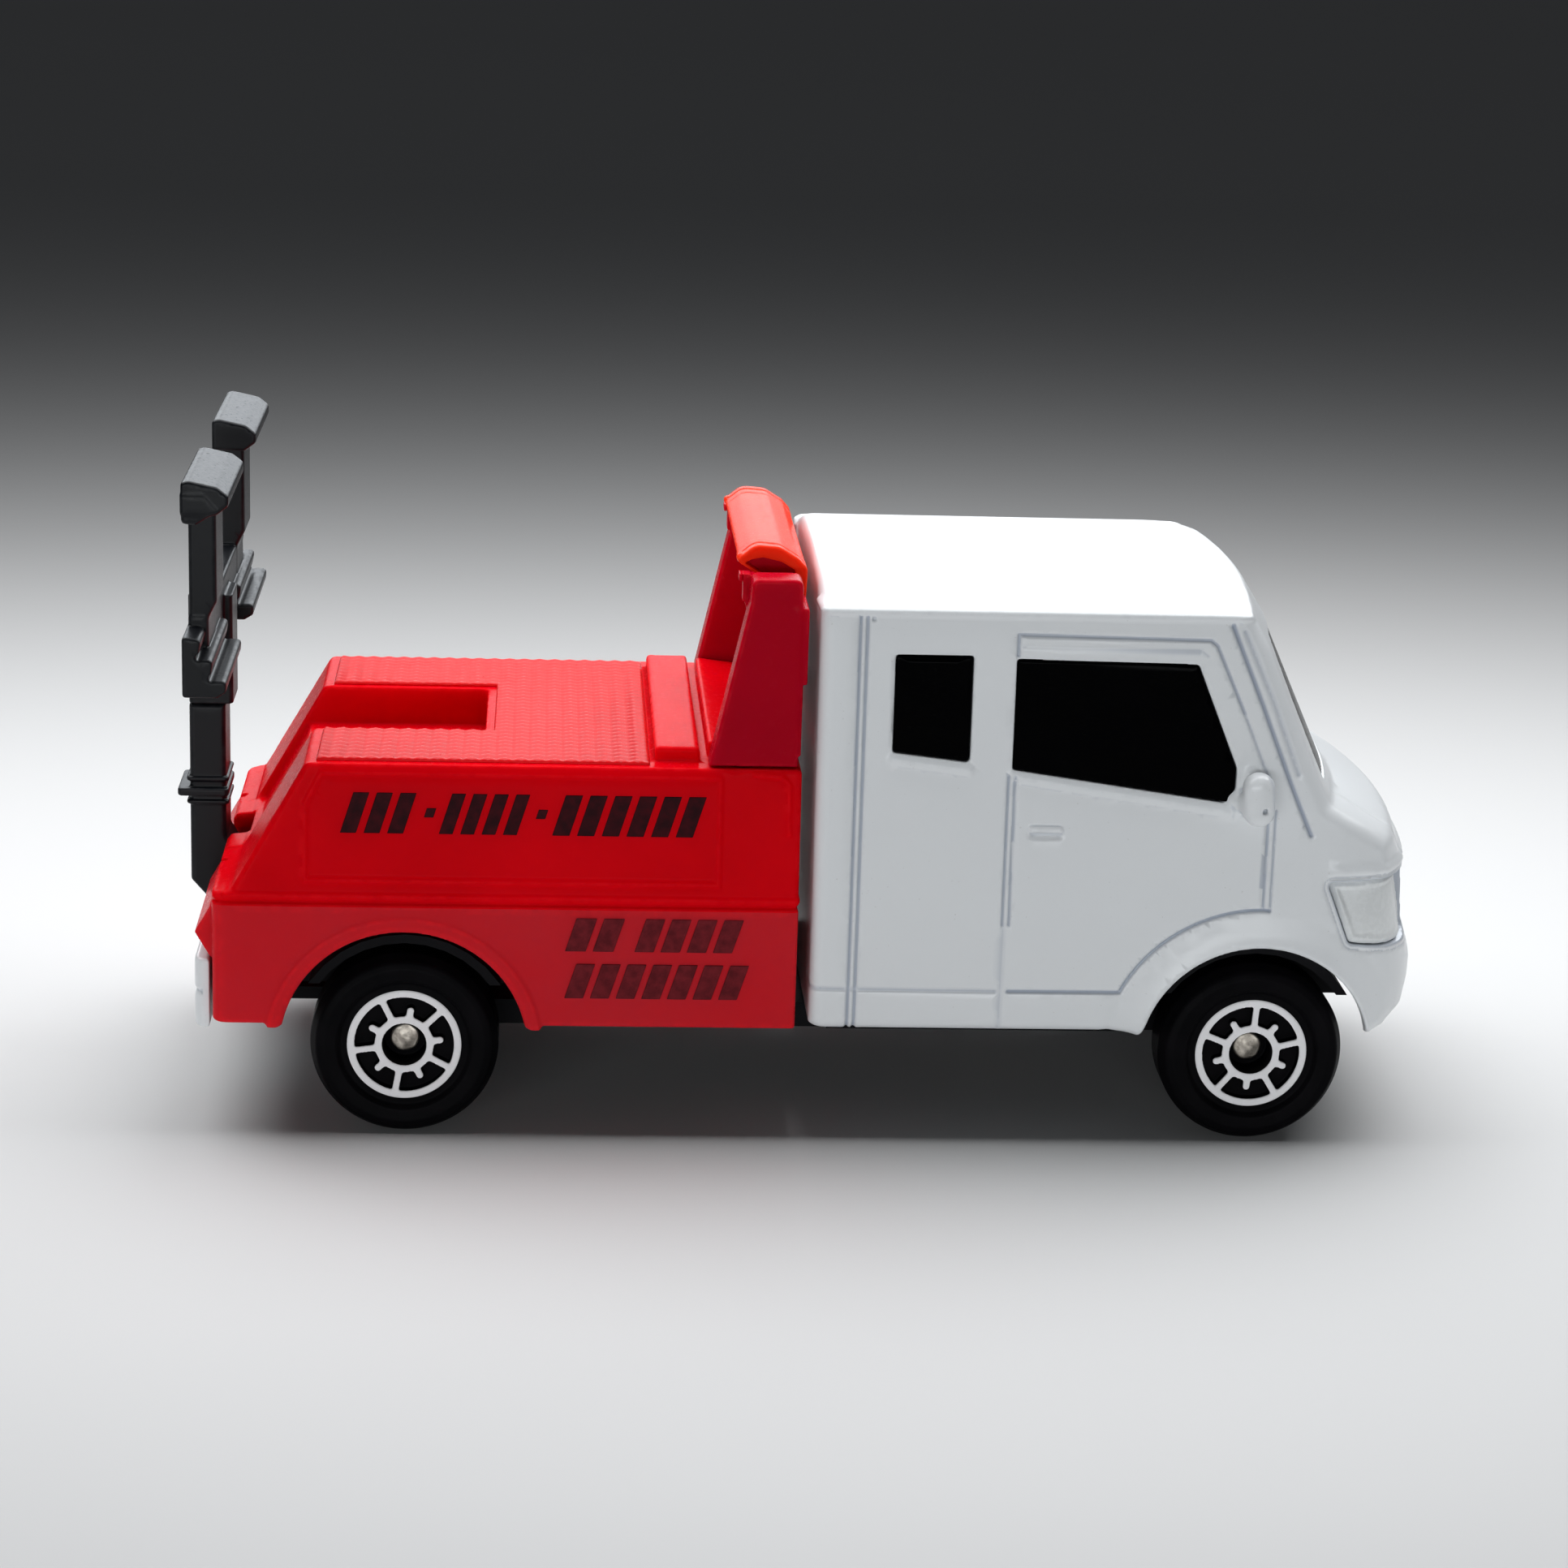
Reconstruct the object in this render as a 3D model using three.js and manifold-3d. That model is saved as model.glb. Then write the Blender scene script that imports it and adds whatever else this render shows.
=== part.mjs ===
// A toy tow truck: a die-cast crew-cab van front, a moulded service bed with a gantry and light bar,
// and a wheel-lift boom that folds up behind it.
// Millimetres. +X is forward, +Y is the truck's left, +Z is up and Z = 0 is the ground.

import * as THREE from 'three';
import { mergeVertices } from 'three/addons/utils/BufferGeometryUtils.js';
import Module from 'manifold-3d';

const wasm = await Module();
wasm.setup();

// ---- Driving dimensions ---------------------------------------------------------------------

const WHEELBASE = 52.3;
const REAR_AXLE_X = -24.4;
const FRONT_AXLE_X = REAR_AXLE_X + WHEELBASE;
const HALF_WIDTH = 14.5; // of the body's sides
const SKIRT_Z = 7.3; // lower edge of the cab and the bed
const WALL = 1.2; // of both body shells
const FIT_GAP = 0.3; // between pieces that are cut to each other
const THROUGH = 40; // reaches past every piece

const WHEEL = { radius: 5.75, width: 3.8, face: 13.8, boss: 0.8, bore: 0.62, sides: 32 };
const HUB = { ring: 3.42, pocket: 1.33, pocketDepth: 2.1, faceDepth: 0.3 };
const AXLE = { radius: 0.55, headRadius: 0.87, headThickness: 0.45, endY: 12.3 };

const CAB = { rear: -0.15, floor: SKIRT_Z, crease: 14.3, gutter: 33.2, roof: 35.7, nose: 39.1 };
const CAB_BOW = 2.0; // how far the cab's front corners lie behind its middle
const FRONT_ARCH = { radius: 7.2, flare: 9.2, proud: 0.3 };
const REAR_ARCH = { radius: 7.5, flare: 8.55, proud: 0.3 };

const BED = { rear: -36.1, front: -0.8, belt: 14.9, deck: 23.6, deckRear: -30.3, deckHalf: 13.42 };
const DECK_SLOT = { front: -19.8, half: 5.2, floor: 21.0 };
const PIVOT = { x: -35.9, z: 12.6, pin: 0.5, bore: 0.6, slotHalf: 2.2, sweep: 2.8 };

const FIN = { inner: 10.9, outer: 13.2, top: 35.15 };
const HEADBOARD = { rear: -1.4, front: -0.45, top: 33.4, step: 28.7 };
const BAR_HALF = 9.3;

const STEM = { rear: -38.35, front: -36.1, half: 1.9, top: 24.0 };
const CRADLE = { half: 15.5, inner: 4.6, railIn: 7.7, railOut: 12.4, rear: -37.25, front: -35.6, barFront: -36.15 };
const CRADLE_Z = { neck: 24.2, chock: 27.9, bar: 28.2, barTop: 32.1, pad: 38.3, top: 40.9 };

const PLATE = { bottom: 5.4, top: 7.0, half: 8.4, rear: -29.0, front: 32.0 };
const PLATE_TAIL = { rear: -34.6, half: 7.6, bottom: 6.6, top: 7.4 }; // reaches back to the bumper
const TRAYS = [{ rear: -16.4, front: -2.4 }, { rear: 1.45, front: 20.2 }]; // inside the bed and inside the cab
const TRAY = { half: 12.9, bottom: 6.9, floor: 7.6, top: 8.1, rim: 1.2 };
const LINER = { inner: 6.4, outer: 6.95, side: 13.1, wall: 0.5, lowest: 9.5, wallLowest: 8.2, legHalf: 4.0 };
const SADDLE = { half: 1.5, inner: 6.4, bottom: 4.6, top: 8.0 };
const POSTS = [{ x: 14, top: 34.6 }, { x: -13, top: 22.8 }];
const POST = { radius: 1.7, bore: 0.95, boreTop: 10.5, bottom: 7.7 };
const RIVET = { shank: 0.8, head: 1.6, headTop: 6.0, headBottom: 5.5, top: 10 };

// ---- Outlines -------------------------------------------------------------------------------

/** Points along an arc, angles in degrees. */
function arc(cx, cy, radius, from, to, steps) {
  return Array.from({ length: steps + 1 }, (_, i) => {
    const a = THREE.MathUtils.degToRad(from + ((to - from) * i) / steps);
    return [cx + radius * Math.cos(a), cy + radius * Math.sin(a)];
  });
}

/** A closed outline whose corners [x, y, r] are rounded to radius r. */
function rounded(corners, steps = 4) {
  const count = corners.length;
  return corners.flatMap(([x, y, r = 0], i) => {
    if (r === 0) return [[x, y]];
    const here = new THREE.Vector2(x, y);
    const before = new THREE.Vector2(...corners[(i + count - 1) % count].slice(0, 2)).sub(here).normalize();
    const after = new THREE.Vector2(...corners[(i + 1) % count].slice(0, 2)).sub(here).normalize();
    const half = Math.acos(THREE.MathUtils.clamp(before.dot(after), -1, 1)) / 2;
    const back = r / Math.tan(half);
    const curve = new THREE.QuadraticBezierCurve(
      here.clone().addScaledVector(before, back), here, here.clone().addScaledVector(after, back));
    return curve.getPoints(steps).map((p) => [p.x, p.y]);
  });
}

/** Anticlockwise corners moved inwards by a distance, their rounding made smaller to suit. */
function inset(corners, distance) {
  const count = corners.length;
  return corners.map(([x, y, r = 0], i) => {
    const [px, py] = corners[(i + count - 1) % count];
    const [nx, ny] = corners[(i + 1) % count];
    const a = new THREE.Vector2(y - py, px - x).normalize();
    const b = new THREE.Vector2(ny - y, x - nx).normalize();
    const mitre = a.clone().add(b).normalize();
    const reach = distance / Math.max(mitre.dot(a), 0.3);
    return [x - mitre.x * reach, y - mitre.y * reach, Math.max(r - distance, 0)];
  });
}

/** A shell's form moved in by a distance. Moved in, it also runs out through the open floor. */
function formOutline(corners, distance) {
  const moved = inset(corners, distance);
  const drop = (i) => (distance > 0 && corners[i][1] < 10 ? 4 : 0);
  return rounded(moved.map(([a, b, r], i) => [a, b - drop(i), r]), 3);
}

const mirrored = (half) => [...half, ...half.map(([y, ...rest]) => [-y, ...rest]).reverse()];

// ---- Solids ---------------------------------------------------------------------------------

function solid(geometry) {
  geometry.deleteAttribute('normal');
  geometry.deleteAttribute('uv');
  const merged = mergeVertices(geometry, 1e-5);
  return new wasm.Manifold(new wasm.Mesh({
    numProp: 3,
    vertProperties: merged.attributes.position.array,
    triVerts: new Uint32Array(merged.index.array),
  }));
}

function extruded(outline, depth, steps = 1) {
  const points = THREE.ShapeUtils.area(outline.map(([x, y]) => ({ x, y }))) < 0 ? [...outline].reverse() : outline;
  const shape = new THREE.Shape(points.map(([x, y]) => new THREE.Vector2(x, y)));
  return new THREE.ExtrudeGeometry(shape, { depth, steps, bevelEnabled: false });
}

/** An XZ outline, extruded across the truck from y0 to y1. */
function across(outline, y0, y1) {
  return solid(extruded(outline, y1 - y0).rotateX(Math.PI / 2).translate(0, y1, 0));
}

/** The same outline on both sides, from inner to outer. */
function bothSides(outline, inner, outer) {
  return across(outline, inner, outer).add(across(outline, -outer, -inner));
}

/** A YZ outline, extruded along the truck from x0 to x1. */
function along(outline, x0, x1) {
  const turn = new THREE.Matrix4().makeBasis(
    new THREE.Vector3(0, 1, 0), new THREE.Vector3(0, 0, 1), new THREE.Vector3(1, 0, 0));
  return solid(extruded(outline, x1 - x0).applyMatrix4(turn).translate(x0, 0, 0));
}

/** An XY outline, extruded up from z0 to z1. */
function upward(outline, z0, z1) {
  return solid(extruded(outline, z1 - z0).translate(0, 0, z0));
}

function box(x0, x1, y0, y1, z0, z1) {
  const geometry = new THREE.BoxGeometry(x1 - x0, y1 - y0, z1 - z0);
  return solid(geometry.translate((x0 + x1) / 2, (y0 + y1) / 2, (z0 + z1) / 2));
}

function sideBoxes(x0, x1, inner, outer, z0, z1) {
  return box(x0, x1, inner, outer, z0, z1).add(box(x0, x1, -outer, -inner, z0, z1));
}

/** A round bar across the truck. */
function barY(x, z, radius, y0, y1, sides = 16) {
  const geometry = new THREE.CylinderGeometry(radius, radius, y1 - y0, sides);
  return solid(geometry.translate(x, (y0 + y1) / 2, z));
}

/** A round bar that stands up. */
function barZ(x, y, radius, z0, z1, sides = 16) {
  const geometry = new THREE.CylinderGeometry(radius, radius, z1 - z0, sides);
  return solid(geometry.rotateX(Math.PI / 2).translate(x, y, (z0 + z1) / 2));
}

/** A profile of [radius, height] points turned about Y, closed on itself. */
function turned(profile, sides) {
  const points = [...profile, profile[0]].map(([r, y]) => new THREE.Vector2(r, y));
  return solid(new THREE.LatheGeometry(points, sides));
}

// ---- Cab ------------------------------------------------------------------------------------

const CAB_SIDE = [
  [CAB.rear, CAB.floor],
  [37.5, CAB.floor, 0.5],
  [38.8, 8.5, 0.6],
  [CAB.nose, 10.2, 0.7],
  [CAB.nose, 11.4, 0.7],
  [38.5, 13.2, 0.5],
  [38.2, 17.6, 0.8],
  [37.4, 19.6, 1.2],
  [33.4, 21.9, 1.0],
  [28.9, 31.5, 1.4],
  [27.2, 34.1, 1.2],
  [23.6, CAB.roof, 2.4],
  [CAB.rear, CAB.roof, 1.4],
];

const CAB_FRONT = mirrored([
  [HALF_WIDTH, CAB.floor],
  [HALF_WIDTH, CAB.crease, 2.0],
  [13.68, 34.0, 0.5],
  [8.0, 35.4, 2.0],
  [3.0, CAB.roof, 2.0],
]);

const CAB_PLAN = [
  [CAB.rear, -HALF_WIDTH],
  [34.6, -HALF_WIDTH, 2.2],
  [THROUGH, -10.2, 2.5],
  [THROUGH, 10.2, 2.5],
  [34.6, HALF_WIDTH, 2.2],
  [CAB.rear, HALF_WIDTH],
];

/** The front of the cab is bowed: its corners lie behind the middle. */
function bowed(geometry) {
  const position = geometry.attributes.position;
  for (let i = 0; i < position.count; i++) {
    const x = position.getX(i);
    const ramp = THREE.MathUtils.smoothstep(x, 18, 30);
    position.setX(i, x - CAB_BOW * ramp * (position.getY(i) / HALF_WIDTH) ** 2);
  }
  return geometry;
}

/** The cab's outer form, moved in by a distance. */
function cabForm(distance) {
  const reach = HALF_WIDTH + 2;
  const side = extruded(formOutline(CAB_SIDE, distance), 2 * reach, 16);
  return solid(bowed(side.rotateX(Math.PI / 2).translate(0, reach, 0)))
    .intersect(along(formOutline(CAB_FRONT, distance), -THROUGH, THROUGH))
    .intersect(upward(rounded(inset(CAB_PLAN, distance)), 0, THROUGH));
}

const cabSkin = (outer, inner) => cabForm(outer).subtract(cabForm(inner));

const REAR_WINDOW = [[4.75, 24.85], [9.45, 24.3], [9.45, 30.85], [4.75, 30.85]];
const FRONT_WINDOW = [[12.05, 23.9], [25.65, 21.95], [25.72, 24.2], [23.05, 30.55], [12.05, 30.7]];
const WINDSCREEN = mirrored([[11.9, 22.9, 0.8], [11.0, 31.6, 0.8]]);

function windowCut(gap) {
  return across(rounded(inset(REAR_WINDOW, gap)), -THROUGH, THROUGH)
    .add(across(rounded(inset(FRONT_WINDOW, gap)), -THROUGH, THROUGH))
    .add(along(rounded(inset(WINDSCREEN, gap), 2), 24, THROUGH));
}

const LAMP_SIDE = [[33.3, 13.4], [THROUGH, 13.4], [THROUGH, 17.2], [31.7, 17.2]];
const LAMP_INNER = 8.6;
const GRILLE = mirrored([[7.6, 13.8], [7.6, 17.0]]);

function noseCut(gap) {
  return bothSides(rounded(inset(LAMP_SIDE, gap)), LAMP_INNER + gap, THROUGH)
    .add(along(rounded(inset(GRILLE, gap)), 32, THROUGH));
}

function postAt(post) {
  return barZ(post.x, 0, POST.radius, POST.bottom, post.top)
    .subtract(barZ(post.x, 0, POST.bore, 0, POST.boreTop));
}

function mirrors() {
  const head = rounded([[26.1, 21.0, 0.6], [28.0, 21.3, 0.9], [27.9, 23.6, 0.8], [26.4, 24.3, 0.7]], 3);
  return bothSides(head, 14.7, 16.2).add(sideBoxes(25.7, 27.2, 13.4, 15.0, 21.1, 22.0));
}

function archFlare(x, arch) {
  const side = HALF_WIDTH + arch.proud;
  const ring = barY(x, WHEEL.radius, arch.flare, -side, side, 40);
  return ring.intersect(sideBoxes(x - THROUGH, x + THROUGH, HALF_WIDTH - WALL, side, SKIRT_Z, THROUGH));
}

function cabShell() {
  const gutter = cabSkin(-0.2, WALL).intersect(box(1.0, 26.0, -THROUGH, THROUGH, CAB.gutter, 33.75));
  return cabSkin(0, WALL)
    .add(archFlare(FRONT_AXLE_X, FRONT_ARCH).intersect(cabForm(-FRONT_ARCH.proud)))
    .subtract(cabForm(WALL))
    .add(gutter)
    .subtract(barY(FRONT_AXLE_X, WHEEL.radius, FRONT_ARCH.radius, -THROUGH, THROUGH, 40))
    .subtract(windowCut(0))
    .subtract(noseCut(0))
    .add(postAt(POSTS[0]))
    .add(mirrors());
}

function windowInsert() {
  const lining = cabSkin(WALL + FIT_GAP, WALL + FIT_GAP + 0.8)
    .intersect(box(2.6, THROUGH, -THROUGH, THROUGH, 21.3, 32.6));
  return lining.add(cabSkin(0.35, WALL + FIT_GAP + 0.2).intersect(windowCut(FIT_GAP)));
}

function grilleInsert() {
  const backing = cabSkin(WALL + FIT_GAP, WALL + FIT_GAP + 0.8)
    .intersect(box(30.6, THROUGH, -THROUGH, THROUGH, 12.9, 17.8));
  return backing.add(cabSkin(0.5, WALL + FIT_GAP + 0.2).intersect(noseCut(FIT_GAP)));
}

// ---- Bed ------------------------------------------------------------------------------------

const BED_SIDE = [
  [BED.rear, SKIRT_Z], [BED.front, SKIRT_Z], [BED.front, BED.deck], [BED.deckRear, BED.deck],
  [-34.8, 15.75], [BED.rear, 15.45],
];
const BED_SECTION = mirrored([
  [HALF_WIDTH, SKIRT_Z], [HALF_WIDTH, BED.belt], [14.25, 15.2], [BED.deckHalf, BED.deck],
]);
const BED_PLAN = [
  [BED.rear, -HALF_WIDTH, 1.4], [BED.front, -HALF_WIDTH], [BED.front, HALF_WIDTH], [BED.rear, HALF_WIDTH, 1.4],
];

function bedForm(distance) {
  return across(formOutline(BED_SIDE, distance), -THROUGH, THROUGH)
    .intersect(along(formOutline(BED_SECTION, distance), -THROUGH, THROUGH))
    .intersect(upward(rounded(inset(BED_PLAN, distance)), 0, THROUGH));
}

/** The block behind the deck slot, whose two cheeks hold the boom's pin. */
function boomHousing() {
  const outline = [
    [-31.0, 19.8], [-31.0, 20.7], [-31.35, 20.7], [-34.1, 15.9], [-35.7, 15.7], [-36.1, 14.4],
    [-37.1, PIVOT.z], [-36.1, 11.1], [-36.1, 9.8], [-32.4, 9.8],
  ];
  return across(outline, -DECK_SLOT.half, DECK_SLOT.half);
}

/** The shallow recess that carries the deck slot down the bed's rear slope. */
function slopeRecess() {
  const outline = [[-31.2, 21.1], [-31.35, 20.7], [-34.05, 15.95], [-36.5, 15.95], [-36.5, 21.1]];
  return across(outline, -DECK_SLOT.half, DECK_SLOT.half);
}

function boomClearance() {
  const { x, z, slotHalf, sweep } = PIVOT;
  return barY(x, z, sweep, -slotHalf, slotHalf, 24)
    .add(box(-THROUGH, x + 1.3, -slotHalf, slotHalf, 9.2, 17.0));
}

function bed() {
  const { front, half, floor } = DECK_SLOT;
  const ledge = across([[-36.0, 14.3], [-37.1, 12.7], [-36.0, 11.1]], -13, 13);
  const tray = box(-34.0, front + WALL, -half - WALL, half + WALL, floor - WALL, BED.deck).intersect(bedForm(0));
  const ramp = across([[-6.15, 23.4], [-1.9, 23.4], [-1.9, 24.0], [-6.15, 24.5]], -10.7, 10.7);
  const crossBlock = rounded([[-9.45, 23.4], [-6.75, 23.4], [-6.75, 24.38, 0.25], [-9.45, 24.38, 0.25]], 2);
  return bedForm(0)
    .add(archFlare(REAR_AXLE_X, REAR_ARCH))
    .subtract(bedForm(WALL))
    .add(tray)
    .subtract(box(-THROUGH, front, -half, half, floor, THROUGH))
    .add(boomHousing())
    .subtract(slopeRecess())
    .add(ledge)
    .add(across(crossBlock, -11.8, 11.8))
    .add(ramp)
    .subtract(barY(REAR_AXLE_X, WHEEL.radius, REAR_ARCH.radius, -THROUGH, THROUGH, 40))
    .subtract(boomClearance())
    .subtract(barY(PIVOT.x, PIVOT.z, PIVOT.bore, -THROUGH, THROUGH))
    .subtract(barZ(-4.2, 11.9, 0.9, 21.6, 24.5).add(barZ(-4.2, -11.9, 0.9, 21.6, 24.5)))
    .add(postAt(POSTS[1]));
}

// ---- Gantry and light bar -------------------------------------------------------------------

function gantry() {
  const fin = rounded([
    [-6.2, BED.deck], [-0.85, BED.deck], [-0.85, FIN.top, 0.5], [-3.9, FIN.top, 0.4], [-4.0, 33.6],
  ], 3);
  const plate = box(HEADBOARD.rear, HEADBOARD.front, -FIN.outer, FIN.outer, HEADBOARD.step, HEADBOARD.top)
    .add(box(HEADBOARD.rear - 0.4, -0.9, -FIN.outer + 0.3, FIN.outer - 0.3, 24.3, HEADBOARD.step + 0.1));
  return bothSides(fin, FIN.inner, FIN.outer)
    .add(plate)
    .add(barZ(-4.2, 11.9, 0.7, 22.0, 24.0))
    .add(barZ(-4.2, -11.9, 0.7, 22.0, 24.0));
}

function lightBar() {
  const top = [
    [-0.45, HEADBOARD.top], [-0.4, 35.2], [-0.8, 35.6], [-1.9, 36.1], [-3.1, 36.35], [-4.0, 36.1], [-4.75, 35.4],
  ];
  const under = [[-4.4, 35.2], [-3.8, 35.5], [-3.1, 35.65], [-2.0, 35.4], [-1.15, 34.9], [-1.15, HEADBOARD.top]];
  const cheek = [...top, [-3.6, 34.6], [-1.15, HEADBOARD.top]];
  return across([...top, ...under], -BAR_HALF, BAR_HALF)
    .add(bothSides(cheek, BAR_HALF - 0.7, BAR_HALF));
}

// ---- Base plate, rear bumper, rivets and axles ----------------------------------------------

/** A wheel's arched liner, which stands on two legs behind the wheels, with the axle's saddles. */
function wheelLiner(x) {
  const z = WHEEL.radius;
  const inner = PLATE.half;
  const outer = inner + LINER.wall;
  const above = (level) => box(x - THROUGH, x + THROUGH, -THROUGH, THROUGH, level, THROUGH);
  const full = barY(x, z, LINER.outer, -LINER.side, LINER.side, 32);
  const arch = full.subtract(barY(x, z, LINER.inner, -THROUGH, THROUGH, 32)).intersect(above(LINER.lowest));
  const walls = full.intersect(sideBoxes(x - THROUGH, x + THROUGH, inner, outer, LINER.wallLowest, THROUGH));
  const legs = sideBoxes(x - LINER.legHalf, x + LINER.legHalf, inner - 0.1, outer, PLATE.bottom, LINER.lowest + 0.4);
  const saddles = sideBoxes(x - SADDLE.half, x + SADDLE.half, SADDLE.inner, outer, SADDLE.bottom, SADDLE.top);
  return arch.add(walls).add(legs).add(saddles);
}

function basePlate() {
  const tail = PLATE_TAIL;
  let plate = box(PLATE.rear, PLATE.front, -PLATE.half, PLATE.half, PLATE.bottom, PLATE.top)
    .add(box(tail.rear, PLATE.rear + 1, -tail.half, tail.half, tail.bottom, tail.top));
  for (const { rear, front } of TRAYS) {
    plate = plate
      .add(box(rear, front, -TRAY.half, TRAY.half, TRAY.bottom, TRAY.top))
      .subtract(box(rear + TRAY.rim, front - TRAY.rim, -TRAY.half + TRAY.rim, TRAY.half - TRAY.rim, TRAY.floor, THROUGH));
  }
  for (const x of [REAR_AXLE_X, FRONT_AXLE_X]) {
    plate = plate.add(wheelLiner(x)).subtract(barY(x, WHEEL.radius, AXLE.radius + 0.05, -THROUGH, THROUGH));
  }
  for (const { x } of POSTS) {
    plate = plate
      .subtract(barZ(x, 0, POST.bore, 0, THROUGH))
      .subtract(barZ(x, 0, RIVET.head + FIT_GAP, 0, RIVET.headTop + 0.1));
  }
  return plate;
}

function rearBumper() {
  const blade = upward(rounded([
    [-37.15, -13.2, 0.8], [-36.2, -13.2], [-36.2, 13.2], [-37.15, 13.2, 0.8],
  ], 4), 6.6, 11.0);
  const notch = box(-THROUGH, 0, -2.8, 2.8, 9.0, THROUGH);
  const flange = box(-36.6, -32.2, -4, 4, PLATE_TAIL.bottom - 0.6, PLATE_TAIL.bottom);
  return blade.subtract(notch).add(flange);
}

function rivet({ x }) {
  return barZ(x, 0, RIVET.head, RIVET.headBottom, RIVET.headTop)
    .add(barZ(x, 0, RIVET.shank, RIVET.headTop - 0.1, RIVET.top));
}

function axle() {
  const { radius, headRadius, headThickness, endY } = AXLE;
  const shank = endY - headThickness;
  return barY(0, 0, radius, -endY, endY)
    .add(barY(0, 0, headRadius, shank, endY))
    .add(barY(0, 0, headRadius, -endY, -shank));
}

/** A one-piece wheel about Y. Its inner face is at y = 0 and its outer face at y = width. */
function wheel() {
  const { radius, width, boss, bore, sides } = WHEEL;
  const face = width - HUB.faceDepth;
  return turned([
    [bore, -boss], [1.5, -boss], [1.5, 0.6], [4.7, 0.6], [4.8, 0],
    [radius - 0.45, 0], [radius, 0.45], [radius, width - 0.6], [radius - 0.2, width - 0.2], [radius - 0.6, width],
    [HUB.ring, width], [HUB.ring - 0.1, face], [HUB.pocket + 0.1, face],
    [HUB.pocket, face - 0.1], [HUB.pocket, width - HUB.pocketDepth], [bore, width - HUB.pocketDepth],
  ], sides);
}

// ---- Boom -----------------------------------------------------------------------------------

function boomStem() {
  const { rear, front, half, top } = STEM;
  const foot = [
    [front, top], [rear, top], [rear, 12.5], [-37.3, 11.3],
    ...arc(PIVOT.x, PIVOT.z, 1.5, 250, 360, 6), [front, 15.4],
  ];
  const band = (z, height, proud) => box(rear - proud, front + 0.2, -half - proud / 2, half + proud / 2, z, z + height);
  return across(foot, -half, half)
    .add(band(18.1, 0.5, 0.75))
    .add(band(17.5, 0.3, 0.2))
    .add(band(19.0, 0.3, 0.2))
    .add(box(rear + 0.5, front - 0.5, -1.1, 1.1, top - 0.2, 28.0))
    .subtract(barY(PIVOT.x, PIVOT.z, PIVOT.bore, -THROUGH, THROUGH));
}

/** The chock's side: a wedge with three rounded ribs down its front. */
function chockOutline() {
  const back = CRADLE.rear - 0.15;
  return rounded([
    [back, CRADLE_Z.chock, 0.15], [-35.35, CRADLE_Z.chock, 0.2], [-34.75, 28.3, 0.2], [-34.85, 29.05, 0.3],
    [-35.65, 29.1], [-35.55, 30.25, 0.35], [-36.4, 30.25], [-36.3, 31.45, 0.35], [back, 31.55, 0.15],
  ], 2);
}

function wheelCradle() {
  const { half, inner, railIn, railOut, rear, front, barFront } = CRADLE;
  const z = CRADLE_Z;
  const pad = rounded([
    [rear - 0.15, z.pad], [-36.6, z.pad], [-35.2, 39.1, 0.3], [-34.6, 39.5, 0.2],
    [-34.55, 40.3, 0.3], [-35.2, 40.8, 0.3], [-37.0, z.top, 0.3], [rear - 0.15, 40.5, 0.2],
  ], 2);
  const socket = box(STEM.rear + 0.3, STEM.front - 0.3, -1.3, 1.3, 0, 28.2);
  const rail = [
    [rear, z.bar], [barFront, z.bar], [barFront, 31.9], [front, 33.0], [front, z.pad + 0.6], [rear, z.pad + 0.6],
  ];
  return box(rear, barFront, -railOut, railOut, z.bar, z.barTop)
    .add(bothSides(rail, railIn, railOut))
    .add(bothSides(pad, inner, half))
    .add(bothSides(chockOutline(), inner, half))
    .add(box(STEM.rear, front, -STEM.half, STEM.half, z.neck, 31.0))
    .subtract(socket);
}

// ---- Assembly -------------------------------------------------------------------------------

const MATERIALS = {
  whitePaint: { color: 0xe9edf0, roughness: 0.28, metalness: 0.0 },
  redPlastic: { color: 0xc8101c, roughness: 0.3, metalness: 0.0 },
  orangeRed: { color: 0xd8281c, roughness: 0.25, metalness: 0.0 },
  blackPlastic: { color: 0x1b1c20, roughness: 0.5, metalness: 0.0 },
  windowBlack: { color: 0x050506, roughness: 0.2, metalness: 0.0 },
  silver: { color: 0xb4bac0, roughness: 0.35, metalness: 0.6 },
  steel: { color: 0xa8a49a, roughness: 0.4, metalness: 1.0 },
};

const group = new THREE.Group();

function add(name, manifold, material, place = {}) {
  const { vertProperties, triVerts } = manifold.getMesh();
  const geometry = new THREE.BufferGeometry();
  geometry.setAttribute('position', new THREE.BufferAttribute(vertProperties, 3));
  geometry.setIndex(new THREE.BufferAttribute(triVerts, 1));
  geometry.computeVertexNormals();
  const mesh = new THREE.Mesh(geometry, new THREE.MeshStandardMaterial(MATERIALS[material]));
  mesh.name = name;
  mesh.position.set(...(place.position ?? [0, 0, 0]));
  mesh.rotation.z = place.turn ?? 0;
  group.add(mesh);
}

add('cab_shell', cabShell(), 'whitePaint');
add('window_insert', windowInsert(), 'windowBlack');
add('grille_insert', grilleInsert(), 'silver');
add('bed', bed(), 'redPlastic');
add('gantry', gantry(), 'redPlastic');
add('light_bar', lightBar(), 'orangeRed');
add('base_plate', basePlate(), 'blackPlastic');
add('rear_bumper', rearBumper(), 'whitePaint');
add('boom_stem', boomStem(), 'blackPlastic');
add('wheel_cradle', wheelCradle(), 'blackPlastic');
add('boom_pin', barY(PIVOT.x, PIVOT.z, PIVOT.pin, -5.1, 5.1), 'steel');

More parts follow.
